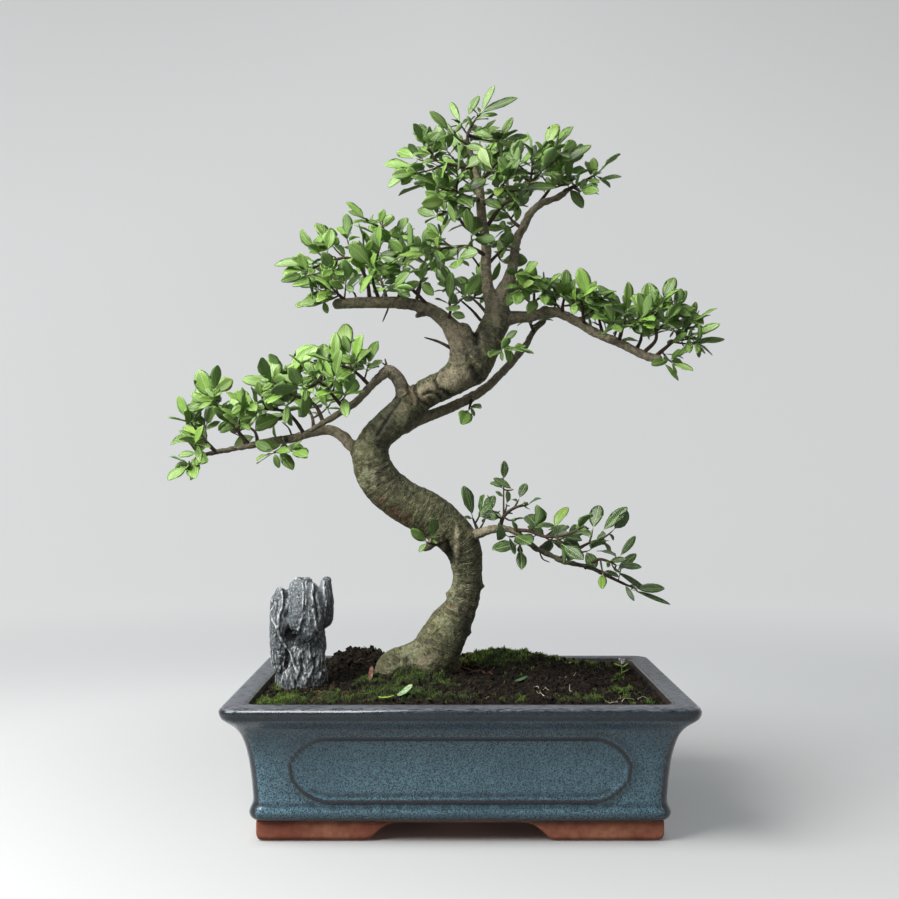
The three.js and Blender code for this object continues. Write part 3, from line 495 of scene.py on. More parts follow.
def glaze_surface():
    glaze = Surface("steel_blue_glaze")
    where = glaze.place()
    height = where.part("Z")
    thin = glaze.attribute("thin_glaze")
    pooled = glaze.attribute("pooled_glaze")
    clouds = glaze.grain(where, 22, 3)
    specks = glaze.grain(where, 1500, 2, 0.5)
    coarse = glaze.grain(where, 700, 2, 0.6)
    mottle = (specks * 0.75 + coarse * 0.25).between(0.36, 0.64)
    base = glaze.mix(mottle, paint("18333f"), paint("7aa6b8"))
    base = glaze.mix(clouds.between(0.35, 0.75) * 0.35, base, paint("2c4f62"))
    runs = glaze.grain(glaze.stretched(where, (1, 1, 0.1)), 230, 3)
    wet = pooled * (runs.between(0.25, 0.7) * 0.5 + 0.5)
    base = glaze.mix(wet * 0.85, base, paint("0f222d"))
    brown = (thin + (coarse - 0.5) * 0.3).between(0.18, 0.8)
    base = glaze.mix(brown * 0.94, base, paint("1c1a1f"))
    streaks = glaze.grain(glaze.stretched(where, (0.4, 2.2, 1)), 560, 3, 0.6, 0.6)
    rim_colour = glaze.mix(streaks.between(0.35, 0.66), paint("1d2128"), paint("757a83"))
    # The lip's face is painted near black as painted shade.
    lip = height.between(0.0652, 0.0672)
    lip_shade_colour = glaze.mix(streaks.between(0.4, 0.7), paint("090e15"), paint("18222c"))
    base = glaze.mix(lip * 0.9, base, lip_shade_colour)
    rim = height.between(0.0712, 0.0724)
    dull = height.between(0.0725, 0.0729)
    base = glaze.mix(rim * 0.94, base, rim_colour)
    across = (where.part("X") - pot_middle).size() + coarse * 0.004
    beside = where.part("Y").size() + coarse * 0.004
    inside = (1 - across.between(0.1135, 0.1165)) * (1 - beside.between(0.085, 0.088))
    inside = inside * height.between(0.06, 0.062)
    gritty = glaze.mix(specks.between(0.4, 0.6), paint("1f1a17"), paint("453a33"))
    base = glaze.mix(inside * 0.85, base, gritty)
    # The neck under the flared lip is greyed as painted shade.
    neck = height.between(0.0585, 0.063) * (1 - height.between(0.063, 0.0665))
    base = glaze.mix(neck * 0.4, base, paint("3c4550"))
    low = height - glaze.grain(where, 70, 3) * 0.0022
    clay = glaze.mix(glaze.grain(where, 45, 3).between(0.3, 0.7), paint("a35f4c"), paint("c98769"))
    clay = glaze.mix(glaze.grain(where, 260, 3).between(0.3, 0.7) * 0.35, clay, paint("6a3a2c"))
    clay = glaze.mix(glaze.grain(where, 600, 3).between(0.68, 0.8) * 0.5, clay, paint("c09a86"))
    # The lower half of the bead, which faces down, is darker as painted shade.
    base = glaze.mix((1 - low.between(0.0135, 0.0165)) * 0.5, base, paint("13232e"))
    base = glaze.mix((1 - low.between(0.0106, 0.0128)) * 0.85, base, paint("2b2624"))
    bare = 1 - low.between(0.0096, 0.0101)
    base = glaze.mix(bare, base, clay)
    peel = glaze.relief(glaze.grain(where, 260, 2), 0.0003)
    pitted = glaze.relief(specks, 0.00012, peel)
    pitted = glaze.relief(streaks * rim, 0.0007, pitted)
    rough = 0.14 + 0.1 * specks + 0.12 * thin + 0.34 * dull - 0.08 * lip + 0.35 * inside + 0.6 * bare
    coat = (1 - bare) * (1 - dull * 0.8) * 0.7
    return glaze.finish(colour=base, roughness=rough, normal=pitted, coat=coat, coat_roughness=0.06,
                        specular=0.2)


pot_body = make_pot_body()
raise_panels(pot_body)
for side in (-DRAIN_HOLE_X, DRAIN_HOLE_X):
    bpy.ops.object.select_all(action="DESELECT")
    bpy.ops.mesh.primitive_cylinder_add(vertices=40, radius=DRAIN_HOLE_RADIUS, depth=30,
                                        location=(side, 0, 15))
    cut(pot_body, bpy.context.active_object)
pot = join_pieces([pot_body, make_feet()])
pot.name = "glazed_pot"
bpy.ops.object.shade_smooth_by_angle(angle=math.radians(38))
pot.data.materials.clear()
pot.data.materials.append(glaze_surface())
to_frame(pot)
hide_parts("pot")
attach(pot, "root")

# The drain screens: two squares of black plastic mesh laid over the drain holes, under the soil.
screen_plastic = Surface("black_mesh_plastic")
screen_scuffs = screen_plastic.grain(screen_plastic.place(), 900, 3)
screen_plastic.finish(
    colour=screen_plastic.mix(screen_scuffs.between(0.4, 0.7), paint("141618"), paint("2a2d30")),
    roughness=0.42 + 0.2 * screen_scuffs, normal=screen_plastic.relief(screen_scuffs, 0.0002))
for screen_name in ("drain_screen_left", "drain_screen_right"):
    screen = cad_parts[screen_name]
    screen.data.materials.clear()
    screen.data.materials.append(screen_plastic.material)

# The soil: a heap of dark, crumbly loam that fills the pot to its lip and rises behind the trunk,
# green where moss has settled, with loose crumbs of earth and fine grit on top.
SOIL_HALF_WIDTH = 110.9
SOIL_HALF_DEPTH = 82.4
SOIL_CORNER = 8
SOIL_FOOT_HALF_WIDTH = 101.4
SOIL_FOOT_HALF_DEPTH = 72.9
SOIL_FOOT = 20.4
SOIL_LEVEL = 69.5
SOIL_DOME = 3.5
# x, y, rise, spread along x, spread along y
MOUNDS = [(-62, 36, 12, 24, 22), (28, 44, 10, 38, 20), (-26, 6, 3, 28, 28), (-24, -10, 3.6, 22, 14)]
# Patches of moss, as x, y, spread along x, spread along y, and how closed the patch is
MOSS_PATCHES = [
    (-98, -62, 15, 17, 1.3), (-70, -58, 26, 18, 0.95), (-36, -48, 24, 20, 1.15), (-52, -14, 14, 16, 0.9),
    (-10, -60, 26, 12, 0.75), (-26, -16, 22, 12, 1.1), (-8, -26, 14, 9, 0.8), (-102, -18, 7, 22, 0.8),
    (22, 40, 26, 20, 1.35), (55, 52, 22, 14, 1.2),
    (2, 34, 12, 10, 0.9), (66, -62, 20, 12, 0.8), (92, -40, 13, 20, 0.75), (98, -66, 10, 10, 0.85),
    (30, -64, 14, 8, 0.6), (-58, 52, 22, 16, 0.9), (-20, 62, 24, 12, 1.0), (84, 58, 16, 14, 0.8),
    (-96, 48, 12, 20, 0.85), (96, 12, 8, 16, 0.7),
]


def soil_height(x, y):
    """Height of the packed soil, without its crumbs."""
    height = SOIL_LEVEL + SOIL_DOME * (1 - (x / 112) ** 4) * (1 - (y / 83.5) ** 4)
    for mound_x, mound_y, rise, spread_x, spread_y in MOUNDS:
        height += rise * math.exp(-((x - mound_x) / spread_x) ** 2 - ((y - mound_y) / spread_y) ** 2)
    height += 0.9 * math.sin(x * 0.31 + 1.3) * math.cos(y * 0.37)
    return height + 0.5 * math.sin(x * 0.83) * math.sin(y * 0.71)


def mossiness(x, y):
    """From 0 on bare soil to 1 in the middle of a cushion of moss."""
    closed = 0.0
    for patch_x, patch_y, spread_x, spread_y, strength in MOSS_PATCHES:
        away = ((x - patch_x) / spread_x) ** 2 + ((y - patch_y) / spread_y) ** 2
        closed = max(closed, strength * math.exp(-away))
    ragged = noise.fractal(Vector((x * 0.16, y * 0.16, 4)), 0.7, 2.1, 5)
    return min(1.0, max(0.0, (closed + 0.62 * ragged - 0.5) / 0.3))


def crumbly_height(x, y):
    """Height of the soil with its clods and crumbs, and its cushions of moss."""
    place = Vector((x, y, 0))
    clods = noise.fractal(place * 0.13, 1.0, 2.0, 3)
    crumbs = 0.45 - noise.voronoi(place * 0.36)[0][0]
    grains = 0.45 - noise.voronoi(place * 0.8 + Vector((7, 3, 1)))[0][0]
    heaped = max(0.0, soil_height(x, y) - 74) / 6
    lumps = 0.5 - noise.voronoi(place * 0.19 + Vector((1, 8, 0)))[0][0]
    return (soil_height(x, y) + 1.3 * clods + 2.1 * crumbs + 1.1 * grains + 2.6 * min(heaped, 1) * lumps
            + 1.1 * mossiness(x, y))


def new_piece(name, points, faces, smooth=True):
    """An object with a mesh of the given points and faces."""
    mesh = bpy.data.meshes.new(name)
    mesh.from_pydata(points, [], faces)
    mesh.polygons.foreach_set("use_smooth", [smooth] * len(mesh.polygons))
    piece = bpy.data.objects.new(name, mesh)
    bpy.context.collection.objects.link(piece)
    return piece


def make_soil_heap():
    bpy.ops.object.select_all(action="DESELECT")
    bpy.ops.mesh.primitive_grid_add(x_subdivisions=230, y_subdivisions=172, size=2)
    heap = bpy.context.active_object
    bpy.ops.object.mode_set(mode="EDIT")
    bpy.ops.transform.resize(value=(SOIL_HALF_WIDTH, SOIL_HALF_DEPTH, 1))
    bpy.ops.mesh.region_to_loop()
    bpy.ops.mesh.extrude_edges_move(TRANSFORM_OT_translate={"value": (0, 0, -1)})
    narrower = SOIL_FOOT_HALF_WIDTH / SOIL_HALF_WIDTH
    less_deep = SOIL_FOOT_HALF_DEPTH / SOIL_HALF_DEPTH
    bpy.ops.transform.resize(value=(narrower, less_deep, 1))
    bpy.ops.mesh.edge_face_add()
    bpy.ops.mesh.select_all(action="SELECT")
    bpy.ops.mesh.normals_make_consistent(inside=False)
    bpy.ops.object.mode_set(mode="OBJECT")
    for vertex in heap.data.vertices:
        x, y, z = vertex.co
        over_x = max(0, abs(x) - SOIL_HALF_WIDTH + SOIL_CORNER) / SOIL_CORNER
        over_y = max(0, abs(y) - SOIL_HALF_DEPTH + SOIL_CORNER) / SOIL_CORNER
        if over_x and over_y:
            x -= math.copysign(SOIL_CORNER * over_x * (1 - math.sqrt(1 - over_y ** 2 / 2)), x)
            y -= math.copysign(SOIL_CORNER * over_y * (1 - math.sqrt(1 - over_x ** 2 / 2)), y)
        vertex.co = (x, y, SOIL_FOOT) if z < -0.5 else (x, y, crumbly_height(x, y))
    mark_points(heap, "mossy", [mossiness(*vertex.co.xy) for vertex in heap.data.vertices])
    return heap


CRUMB_POINTS = [(0, 0, 1), (0.9, 0, 0.3), (-0.4, 0.8, 0.4), (-0.5, -0.8, 0.2), (0.5, 0.6, -0.6),
                (-0.9, 0.1, -0.5), (0.3, -0.7, -0.8)]
CRUMB_FACES = [(0, 1, 2), (0, 2, 3), (0, 3, 1), (1, 4, 2), (2, 5, 3), (3, 6, 1), (4, 5, 2), (5, 6, 3),
               (6, 4, 1), (6, 5, 4)]


def scatter_crumbs(count, chance):
    """Loose crumbs of earth, each a rough lump that is half sunk."""
    points, faces = [], []
    for _ in range(count):
        x = chance.uniform(-SOIL_HALF_WIDTH + 3, SOIL_HALF_WIDTH - 3)
        y = chance.uniform(-SOIL_HALF_DEPTH + 3, SOIL_HALF_DEPTH - 3)
        if mossiness(x, y) > 0.7:
            continue
        heaped = min(1.0, max(0.0, soil_height(x, y) - 75) / 5)
        size = 0.5 + (1.3 + 1.5 * heaped) * chance.random() ** 3
        turn = Matrix.Rotation(chance.uniform(0, 6.3), 3, (chance.random(), chance.random(), 1))
        middle = Vector((x, y, crumbly_height(x, y) + size * 0.3))
        start = len(points)
        for corner in CRUMB_POINTS:
            points.append(middle + turn @ (Vector(corner) * size * chance.uniform(0.7, 1.15)))
        faces += [tuple(start + i for i in face) for face in CRUMB_FACES]
    crumbs = new_piece("crumbs", points, faces, smooth=False)
    mark_points(crumbs, "mossy", [0.0] * len(points))
    return crumbs


def soil_surface():
    soil = Surface("dark_loam")
    where = soil.place()
    clods = soil.grain(where, 110, 3)
    grains = soil.cells(where, 560, output="Color").part("X")
    fine = soil.grain(where, 1500, 2)
    mossy = soil.attribute("mossy")
    colour = soil.mix(clods.between(0.3, 0.7), paint("0c0a07"), paint("221b13"))
    colour = soil.mix(grains.between(0.72, 0.95) * 0.5, colour, paint("3f3325"))
    colour = soil.mix((1 - grains.between(0.05, 0.35)) * 0.8, colour, paint("060504"))
    colour = soil.mix(fine.between(0.6, 0.72) * 0.5, colour, paint("6a5844"))
    green = soil.mix(clods.between(0.35, 0.65), paint("121a08"), paint("2c3d10"))
    colour = soil.mix(mossy * 0.8, colour, green)
    lumps = soil.relief(soil.cells(where, 560), 0.0009)
    rough = soil.relief(fine, 0.0005, lumps)
    return soil.finish(colour=colour, roughness=0.8 + 0.2 * fine, normal=rough, specular=0.12)


heap = make_soil_heap()
select_only(heap)
bpy.ops.object.shade_smooth_by_angle(angle=math.radians(60))
soil = join_pieces([heap, scatter_crumbs(4600, random.Random(3))])
soil.name = "soil_heap"
soil.data.materials.clear()
soil.data.materials.append(soil_surface())
to_frame(soil)
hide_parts("soil")
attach(soil, "root")

# The moss: low cushions of many short upright shoots. Their colour carries painted light and shade: bright
# on the open mounds, darker in front of the trunk, and lighter at the shoots' tips than at their feet.
MOSS_SHOOTS = 15000
THIRD_OF_A_TURN = 2.094


def grow_moss(count, chance):
    points, faces, painted_brightness = [], [], []
    grown = 0
    while grown < count:
        x = chance.uniform(-SOIL_HALF_WIDTH + 1.5, SOIL_HALF_WIDTH - 1.5)
        y = chance.uniform(-SOIL_HALF_DEPTH + 1.5, SOIL_HALF_DEPTH - 1.5)
        closed = mossiness(x, y)
        if closed < 0.15 or chance.random() > closed:
            continue
        grown += 1
        tall = chance.uniform(0.9, 2.3) * (0.6 + 0.5 * closed)
        lean = Vector((chance.gauss(0, 0.5), chance.gauss(0, 0.5), 1)).normalized() * tall
        foot = Vector((x, y, crumbly_height(x, y) - 0.4))
        thick = chance.uniform(0.22, 0.42)
        turn = chance.uniform(0, 6.3)
        start = len(points)
        for k in range(3):
            angle = turn + k * THIRD_OF_A_TURN
            points.append(foot + Vector((math.cos(angle), math.sin(angle), 0)) * thick)
        points.append(foot + lean)
        faces += [(start, start + 1, start + 3), (start + 1, start + 2, start + 3),
                  (start + 2, start, start + 3), (start, start + 2, start + 1)]
        # Painted light and shade: each shoot lighter at its tip than at its foot, brighter on the open
        # mounds and darker in front of the trunk.
        clump = max(0.0, 0.45 + 0.9 * noise.noise(Vector((x * 0.14, y * 0.14, 9))))
        painted_light_by_place = 1.0 if y > 15 or x < -84 else 0.5 if y > -70 and x < 10 else 0.75
        light = clump * painted_light_by_place * chance.uniform(0.5, 1.3)
        painted_brightness += [light * 0.35] * 3 + [min(1, light * 1.4 + 0.04)]
    moss = new_piece("moss_cushions", points, faces, smooth=False)
    mark_points(moss, "moss_light", painted_brightness)
    return moss


def moss_surface():
    moss = Surface("green_moss")
    light = moss.attribute("moss_light")
    where = moss.place()
    cloud = moss.grain(where, 160, 2)
    # The moss_light mark is painted light and shade.
    colour = moss.mix(light, paint("141d07"), paint("7d9f28"))
    colour = moss.mix(cloud.between(0.45, 0.7) * 0.35, colour, paint("33490f"))
    colour = moss.mix(moss.grain(where, 700, 1).between(0.66, 0.75) * 0.4, colour, paint("7c5f33"))
    return moss.finish(colour=colour, roughness=0.75, specular=0.3, sheen=0.15)


moss = grow_moss(MOSS_SHOOTS, random.Random(5))
moss.data.materials.append(moss_surface())
to_frame(moss)
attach(moss, "root")

# Litter: what has fallen or sprouted on the soil. A pale fallen leaf and a dark one, a curled
# blade of grass, a chip of bark on end, straws, reddish root fibres and one seedling.


def scrap(name, x, y, half_length, half_width, heading, tilt, colours, rough, lift=0.6, curl=0.2):
    """A thin curled oval or strip that lies on the soil."""
    bpy.ops.object.select_all(action="DESELECT")
    bpy.ops.mesh.primitive_grid_add(x_subdivisions=12, y_subdivisions=6, size=2)
    piece = bpy.context.active_object
    piece.name = name
    for vertex in piece.data.vertices:
        u, v = vertex.co.x, vertex.co.y
        round_off = math.sqrt(max(0.0, 1 - abs(u) ** 2.4))
        rise = curl * (v * v * half_width + u * u * half_length * 0.5)
        vertex.co = (u * half_length, v * half_width * round_off, rise)
    finish_with(piece, "SOLIDIFY", thickness=0.3)
    turn = Matrix.Rotation(math.radians(heading), 4, "Z") @ Matrix.Rotation(math.radians(tilt), 4, "Y")
    piece.data.transform(Matrix.Translation((x, y, crumbly_height(x, y) + lift)) @ turn)
    bpy.ops.object.shade_smooth()
    finish = Surface(name + "_finish")
    cloud = finish.grain(finish.place(), 500, 3)
    colour = finish.mix(cloud.between(0.35, 0.65), paint(colours[0]), paint(colours[1]))
    piece.data.materials.append(finish.finish(colour=colour, roughness=rough, specular=0.35,
                                              normal=finish.relief(cloud, 0.0002)))
    to_frame(piece)
    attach(piece, "root")


scrap("fallen_leaf", -29.5, -61, 5.2, 2.6, 38, -30, ("6f9160", "a3b98e"), 0.6, 2.4)
scrap("dark_fallen_leaf", 36, -14, 3.8, 2.8, 10, -20, ("2c4420", "3f6330"), 0.45, 2.0)
scrap("grass_blade", -39.5, -69, 4.4, 0.8, -18, -8, ("7f9c2e", "a6c245"), 0.5, 2.4, 0.3)
scrap("bark_chip", -51, -14, 4.2, 1.5, 62, -74, ("6a4a38", "9a7460"), 0.8, 3.6)

SEEDLING_GREENS = ("5c8a28", "86ad3e")
scrap("seedling_stalk", 100, 30, 3.2, 0.5, 0, -88, SEEDLING_GREENS, 0.5, 2.4, 0.1)
scrap("seedling_low_leaf", 101.8, 29, 2.2, 1.3, -20, -25, SEEDLING_GREENS, 0.5, 2.6)
scrap("seedling_left_leaf", 98, 29.6, 2.7, 1.9, 175, -20, SEEDLING_GREENS, 0.5, 5.4)
scrap("seedling_right_leaf", 102, 29.5, 2.6, 1.7, -10, -35, SEEDLING_GREENS, 0.5, 5.6)


def fibres(name, strands, colours):
    """Thin round strands that lie over the crumbs, each along its own wavering line."""
    lines = bpy.data.curves.new(name, "CURVE")
    lines.dimensions = "3D"
    lines.bevel_resolution = 1
    lines.bevel_depth = 1
    lines.use_fill_caps = True
    for x, y, length, heading, radius, wander, seed in strands:
        strand = lines.splines.new("POLY")
        strand.points.add(9)
        angle = math.radians(heading)
        chance = random.Random(seed)
        for i, point in enumerate(strand.points):
            point.co = (x, y, crumbly_height(x, y) + radius + 0.5 + 0.6 * math.sin(i * 1.3 + seed), 1)
            point.radius = radius * (1 - 0.06 * i)
            x += math.cos(angle) * length / 9
            y += math.sin(angle) * length / 9
            angle += chance.uniform(-wander, wander)
    strands_object = bpy.data.objects.new(name, lines)
    bpy.context.collection.objects.link(strands_object)
    select_only(strands_object)
    bpy.ops.object.convert(target="MESH")
    piece = bpy.context.active_object
    piece.name = name
    finish = Surface(name + "_finish")
    cloud = finish.grain(finish.place(), 300, 2)
    colour = finish.mix(cloud.between(0.35, 0.65), paint(colours[0]), paint(colours[1]))
    piece.data.materials.clear()
    piece.data.materials.append(finish.finish(colour=colour, roughness=0.7, specular=0.3))
    to_frame(piece)
    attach(piece, "root")


# x, y, length, heading in degrees, radius, wander, seed
fibres("pale_straws", [
    (78, -70, 22, 28, 0.28, 0.12, 1), (84, -66, 16, 62, 0.24, 0.2, 2), (64, -48, 15, 110, 0.2, 0.3, 3),
    (48, -58, 12, 150, 0.22, 0.25, 4), (90, -52, 14, -38, 0.22, 0.2, 5), (12, -66, 11, 80, 0.2, 0.3, 9),
    (60, 6, 14, 20, 0.2, 0.3, 10), (42, -34, 12, -60, 0.2, 0.4, 11), (-16, 52, 14, 40, 0.22, 0.3, 12),
    (70, 40, 12, 130, 0.2, 0.3, 13), (-90, 30, 13, 70, 0.2, 0.3, 14),
], ("b3a68a", "e0dac8"))
fibres("root_fibres", [
    (-2, 14, 24, 8, 0.6, 0.35, 21), (2, 18, 20, -12, 0.5, 0.4, 22), (-4, 22, 22, 18, 0.45, 0.4, 23),
    (6, 10, 16, 30, 0.4, 0.5, 24), (-46, 20, 18, 160, 0.5, 0.4, 25), (-30, 38, 18, 80, 0.5, 0.4, 26),
    (4, 26, 14, -40, 0.4, 0.5, 27), (-86, -44, 17, 12, 0.3, 0.25, 28), (-74, -50, 15, -24, 0.3, 0.3, 29),
    (-64, -60, 14, 30, 0.3, 0.3, 30), (-80, -64, 14, 8, 0.3, 0.3, 31),
], ("5b3826", "8a5f43"))

# The stone: a dark grey upright rock worn by water into a domed head, a pointed lobe on the right
# and a hanging fold on the left, over a deep hollow. Its wrinkles run down, with pale worn ridges.
# x, y, z and the half size along each axis
STONE_LOBES = [
    (-90.5, -14, 92, 13.5, 11, 40), (-91, -17, 114, 11.2, 13, 20), (-103, -17, 103, 6.6, 9, 26),
    (-77.8, -15, 119, 5.2, 9, 15), (-85.5, -22, 112, 8, 8, 20), (-91.5, -14, 74, 14.5, 13, 18),
]
# The start of the noise that bends its wrinkles, which keeps the stone the same in every run
STONE_SEED = 1795624790
# Worn ridges on the face, as points of x and z, with how far they stand out and their half width
STONE_RIDGES = [
    ([(-89.5, 133), (-89, 122), (-89.5, 112), (-91.5, 105)], 1.3, 0.6),
    ([(-87.6, 132), (-87.4, 121), (-88, 111)], 1.0, 0.5),
    ([(-83.5, 131), (-83.5, 119), (-83, 111), (-80.5, 104)], 1.3, 0.7),
    ([(-101.5, 126), (-101.5, 117), (-104, 106), (-100.5, 97), (-95, 87), (-92, 79)], 1.5, 0.7),
    ([(-99.6, 122), (-100.4, 112), (-99, 102)], 0.9, 0.5),
    ([(-107, 126), (-107.5, 112), (-104, 106)], 1.1, 0.6),
    ([(-98, 131), (-93, 133.5), (-88, 133)], 0.8, 0.7),
    ([(-100, 95), (-101, 84), (-97, 76)], 0.9, 0.6),
    ([(-86, 92), (-84, 84), (-87, 76)], 1.1, 0.7),
    ([(-80, 90), (-79, 80), (-82, 73)], 1.0, 0.7),
    ([(-92, 100), (-88, 97), (-84, 100)], 1.0, 0.7),
    ([(-78, 132), (-77, 122), (-77.5, 112)], 0.9, 0.6),
]
# Deep dark folds between them
STONE_FOLDS = [
    ([(-100, 127), (-99, 115), (-98.5, 104), (-96, 96)], 2.2, 1.1),
    ([(-81.5, 133), (-81.8, 122), (-80.5, 112)], 2.4, 1.0),
    ([(-86.5, 127), (-86.5, 118), (-87.5, 108)], 1.0, 1.2),
    ([(-95, 101), (-89, 95), (-82, 97), (-77, 102)], 4.5, 3.2),
    ([(-104.5, 121), (-104.8, 113)], 1.5, 0.8),
    ([(-89, 90), (-90, 80), (-93, 74)], 1.8, 1.4),
    ([(-98, 90), (-99.5, 82), (-103, 76)], 1.3, 1.1),
    ([(-82.5, 88), (-82.5, 79)], 1.4, 1.1),
]


def drawn_line_share(points, line, half_width):
    """1 on a line of (x, z) points over a face, falling to 0 beside it."""
    best = np.full(len(points), 1e9)
    for (x1, z1), (x2, z2) in zip(line, line[1:]):
        run = np.array([x2 - x1, z2 - z1])
        start = points[:, [0, 2]] - np.array([x1, z1])
        share = np.clip(start @ run / (run @ run), 0, 1)
        best = np.minimum(best, np.linalg.norm(start - share[:, None] * run, axis=1))
    return np.exp(-(best / half_width) ** 2)


def make_stone():
    lobes = []
    for x, y, z, *half_sizes in STONE_LOBES:
        bpy.ops.object.select_all(action="DESELECT")
        bpy.ops.mesh.primitive_uv_sphere_add(segments=32, ring_count=20, location=(x, y, z),
                                             scale=half_sizes)
        bpy.ops.object.transform_apply()
        lobes.append(bpy.context.active_object)
    bpy.ops.object.select_all(action="DESELECT")
    bpy.ops.mesh.primitive_cone_add(vertices=24, radius1=5.6, radius2=2.5, depth=19,
                                    location=(-77.9, -14, 124.5), rotation=(0, math.radians(5), 0))
    bpy.ops.object.transform_apply()
    lobes.append(bpy.context.active_object)
    rock = join_pieces(lobes)
    voxel_remesh(rock, 0.62)
    smooth_out(rock, 12)
    return rock


def carve_stone(rock):
    """Folds and ridges on the face, and the same kind of drapery all round."""
    mesh = rock.data
    points = read_points(mesh)
    normals = read_normals(mesh)
    facing = np.clip(0.3 - normals[:, 1] * 1.4, 0, 1)
    broken = np.array([noise.noise(Vector(point) * 0.33) for point in points])
    wander = np.array([noise.noise_vector(Vector(point) * 0.16) for point in points])
    drawn = points + 1.1 * wander
    push = np.zeros(len(points))
    for line, rise, half_width in STONE_RIDGES:
        push += facing * rise * (0.75 + broken) * drawn_line_share(drawn, line, half_width)
    for line, depth, half_width in STONE_FOLDS:
        push -= facing * depth * (0.9 + 0.5 * broken) * drawn_line_share(drawn, line, half_width)
    for i, point in enumerate(points):
        place = Vector(point)
        upright = Vector((place.x * 0.13, place.y * 0.13, place.z * 0.03))
        bent = upright + 0.4 * noise.noise_vector(place * 0.06)
        draped = abs(noise.noise(bent * 1.4)) * 2 - 0.4
        side = 1 - 0.75 * facing[i]
        wrinkles = abs(noise.noise(Vector((place.x * 0.42, place.y * 0.42, place.z * 0.1)))) * 2 - 0.5
        fine = abs(noise.noise(Vector((place.x * 0.95, place.y * 0.95, place.z * 0.33)))) * 2 - 0.5
        pits = noise.fractal(place * 0.8, 0.6, 2.2, 4)
        low = min(1.0, max(0.0, (104 - place.z) / 22))
        push[i] += (1.9 * side * draped + (0.15 + 0.8 * low) * wrinkles + (0.25 + 0.3 * low) * fine
                    + 0.26 * pits)
    points += normals * push[:, None]
    mesh.vertices.foreach_set("co", points.ravel())
    mesh.update()
    smooth_out(rock, 1, 0.25)


def read_normals(mesh):
    normals = np.empty(len(mesh.vertices) * 3)
    mesh.vertex_normals.foreach_get("vector", normals)
    return normals.reshape(-1, 3)


def mark_ridges_and_hollows(piece, name, reach):
    """Marks the ridges of a surface with 1 and its hollows with 0."""
    shell = bmesh.new()
    shell.from_mesh(piece.data)
    shell.normal_update()
    values = np.zeros(len(shell.verts))
    for vertex in shell.verts:
        around = [edge.other_vert(vertex).co for edge in vertex.link_edges]
        middle = sum(around, Vector()) / len(around)
        values[vertex.index] = (vertex.co - middle).dot(vertex.normal)
    ends = np.array([(edge.verts[0].index, edge.verts[1].index) for edge in shell.edges])
    shell.free()
    counts = np.bincount(ends.ravel(), minlength=len(values))
    for _ in range(2):
        total = np.bincount(ends[:, 0], values[ends[:, 1]], len(values))
        total += np.bincount(ends[:, 1], values[ends[:, 0]], len(values))
        values = 0.5 * values + 0.5 * total / counts
    mark_points(piece, name, np.clip(0.5 + values / reach, 0, 1))


def stone_surface():
    rock = Surface("grey_eroded_rock")
    where = rock.place()
    wear_and_crevice_shade = rock.attribute("stone_wear_and_crevice_shade")
    bands = rock.grain(rock.stretched(where, (1, 1, 0.3)), 300, 4, 0.65, 0.8)
    cloud = rock.grain(where, 60, 3)
    grit = rock.grain(rock.stretched(where, (1, 1, 0.6)), 900, 4, 0.6)
    specks = rock.grain(where, 1500, 2)
    colour = rock.mix(cloud.between(0.35, 0.65), paint("3a4146"), paint("666f75"))
    colour = rock.mix(grit.between(0.48, 0.62) * 0.5, colour, paint("8a9296"))
    colour = rock.mix((1 - grit.between(0.36, 0.48)) * 0.7, colour, paint("14181c"))
    colour = rock.mix(bands.between(0.54, 0.68) * 0.5, colour, paint("969da0"))
    colour = rock.mix((1 - bands.between(0.36, 0.48)) * 0.6, colour, paint("12161a"))
    # Pale on the worn ridges, and near black in the hollows as painted shade.
    colour = rock.mix(wear_and_crevice_shade.between(0.55, 0.72) * 0.85, colour, paint("ced2d2"))
    colour = rock.mix((1 - wear_and_crevice_shade.between(0.24, 0.47)) * 0.92, colour, paint("07090b"))
    colour = rock.mix(specks.between(0.6, 0.72) * 0.5, colour, paint("c6caca"))
    colour = rock.mix((1 - specks.between(0.3, 0.4)) * 0.6, colour, paint("0a0d10"))
    low = 1 - where.part("Z").between(0.071, 0.084)
    colour = rock.mix(low * 0.5, colour, paint("1a1713"))
    drapes = rock.relief(bands, 0.0011)
    rough = rock.relief(grit, 0.0009, drapes)
    return rock.finish(colour=colour, roughness=0.5 + 0.3 * specks, normal=rough, specular=0.45)


noise.seed_set(STONE_SEED)
stone = make_stone()
carve_stone(stone)
stone.name = "eroded_stone"
mark_ridges_and_hollows(stone, "stone_wear_and_crevice_shade", 0.4)
stone.data.polygons.foreach_set("use_smooth", [True] * len(stone.data.polygons))
stone.data.materials.append(stone_surface())
to_frame(stone)
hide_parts("stone")
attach(stone, "root")

# The trunk: one live stem that leans left, sweeps right and back, and forks near the top, with the
# limbs that carry the leaf pads. Its bark is olive-grey, ringed and dotted, cracked on old wood.
# Points along the middle of each stem, as x, y, z and radius
TRUNK = [
    (-19, 8, 56, 12), (-18, 7, 70, 12), (-15.5, 6, 81, 12.2), (-11.5, 6, 91, 12.2), (-6.5, 6, 100, 11.3),
    (-1, 6, 110, 10), (4, 5, 123, 9.2), (5, 4, 137, 9.1), (1, 3, 152, 11), (-10, 2, 164, 12.2),
    (-20, 1, 171, 12.6), (-33, 0, 178, 12.2), (-46, -2, 189, 11.8), (-52, -4, 203, 10.8),
    (-49, -5, 214, 9.6), (-41.5, -5, 222, 9.4), (-31, -4, 232, 9.2), (-19, -3, 241.3, 8.8),
    (-8, -2, 246.8, 8.8), (2, -1, 253, 9.3), (10, 0, 262, 9.4),
]
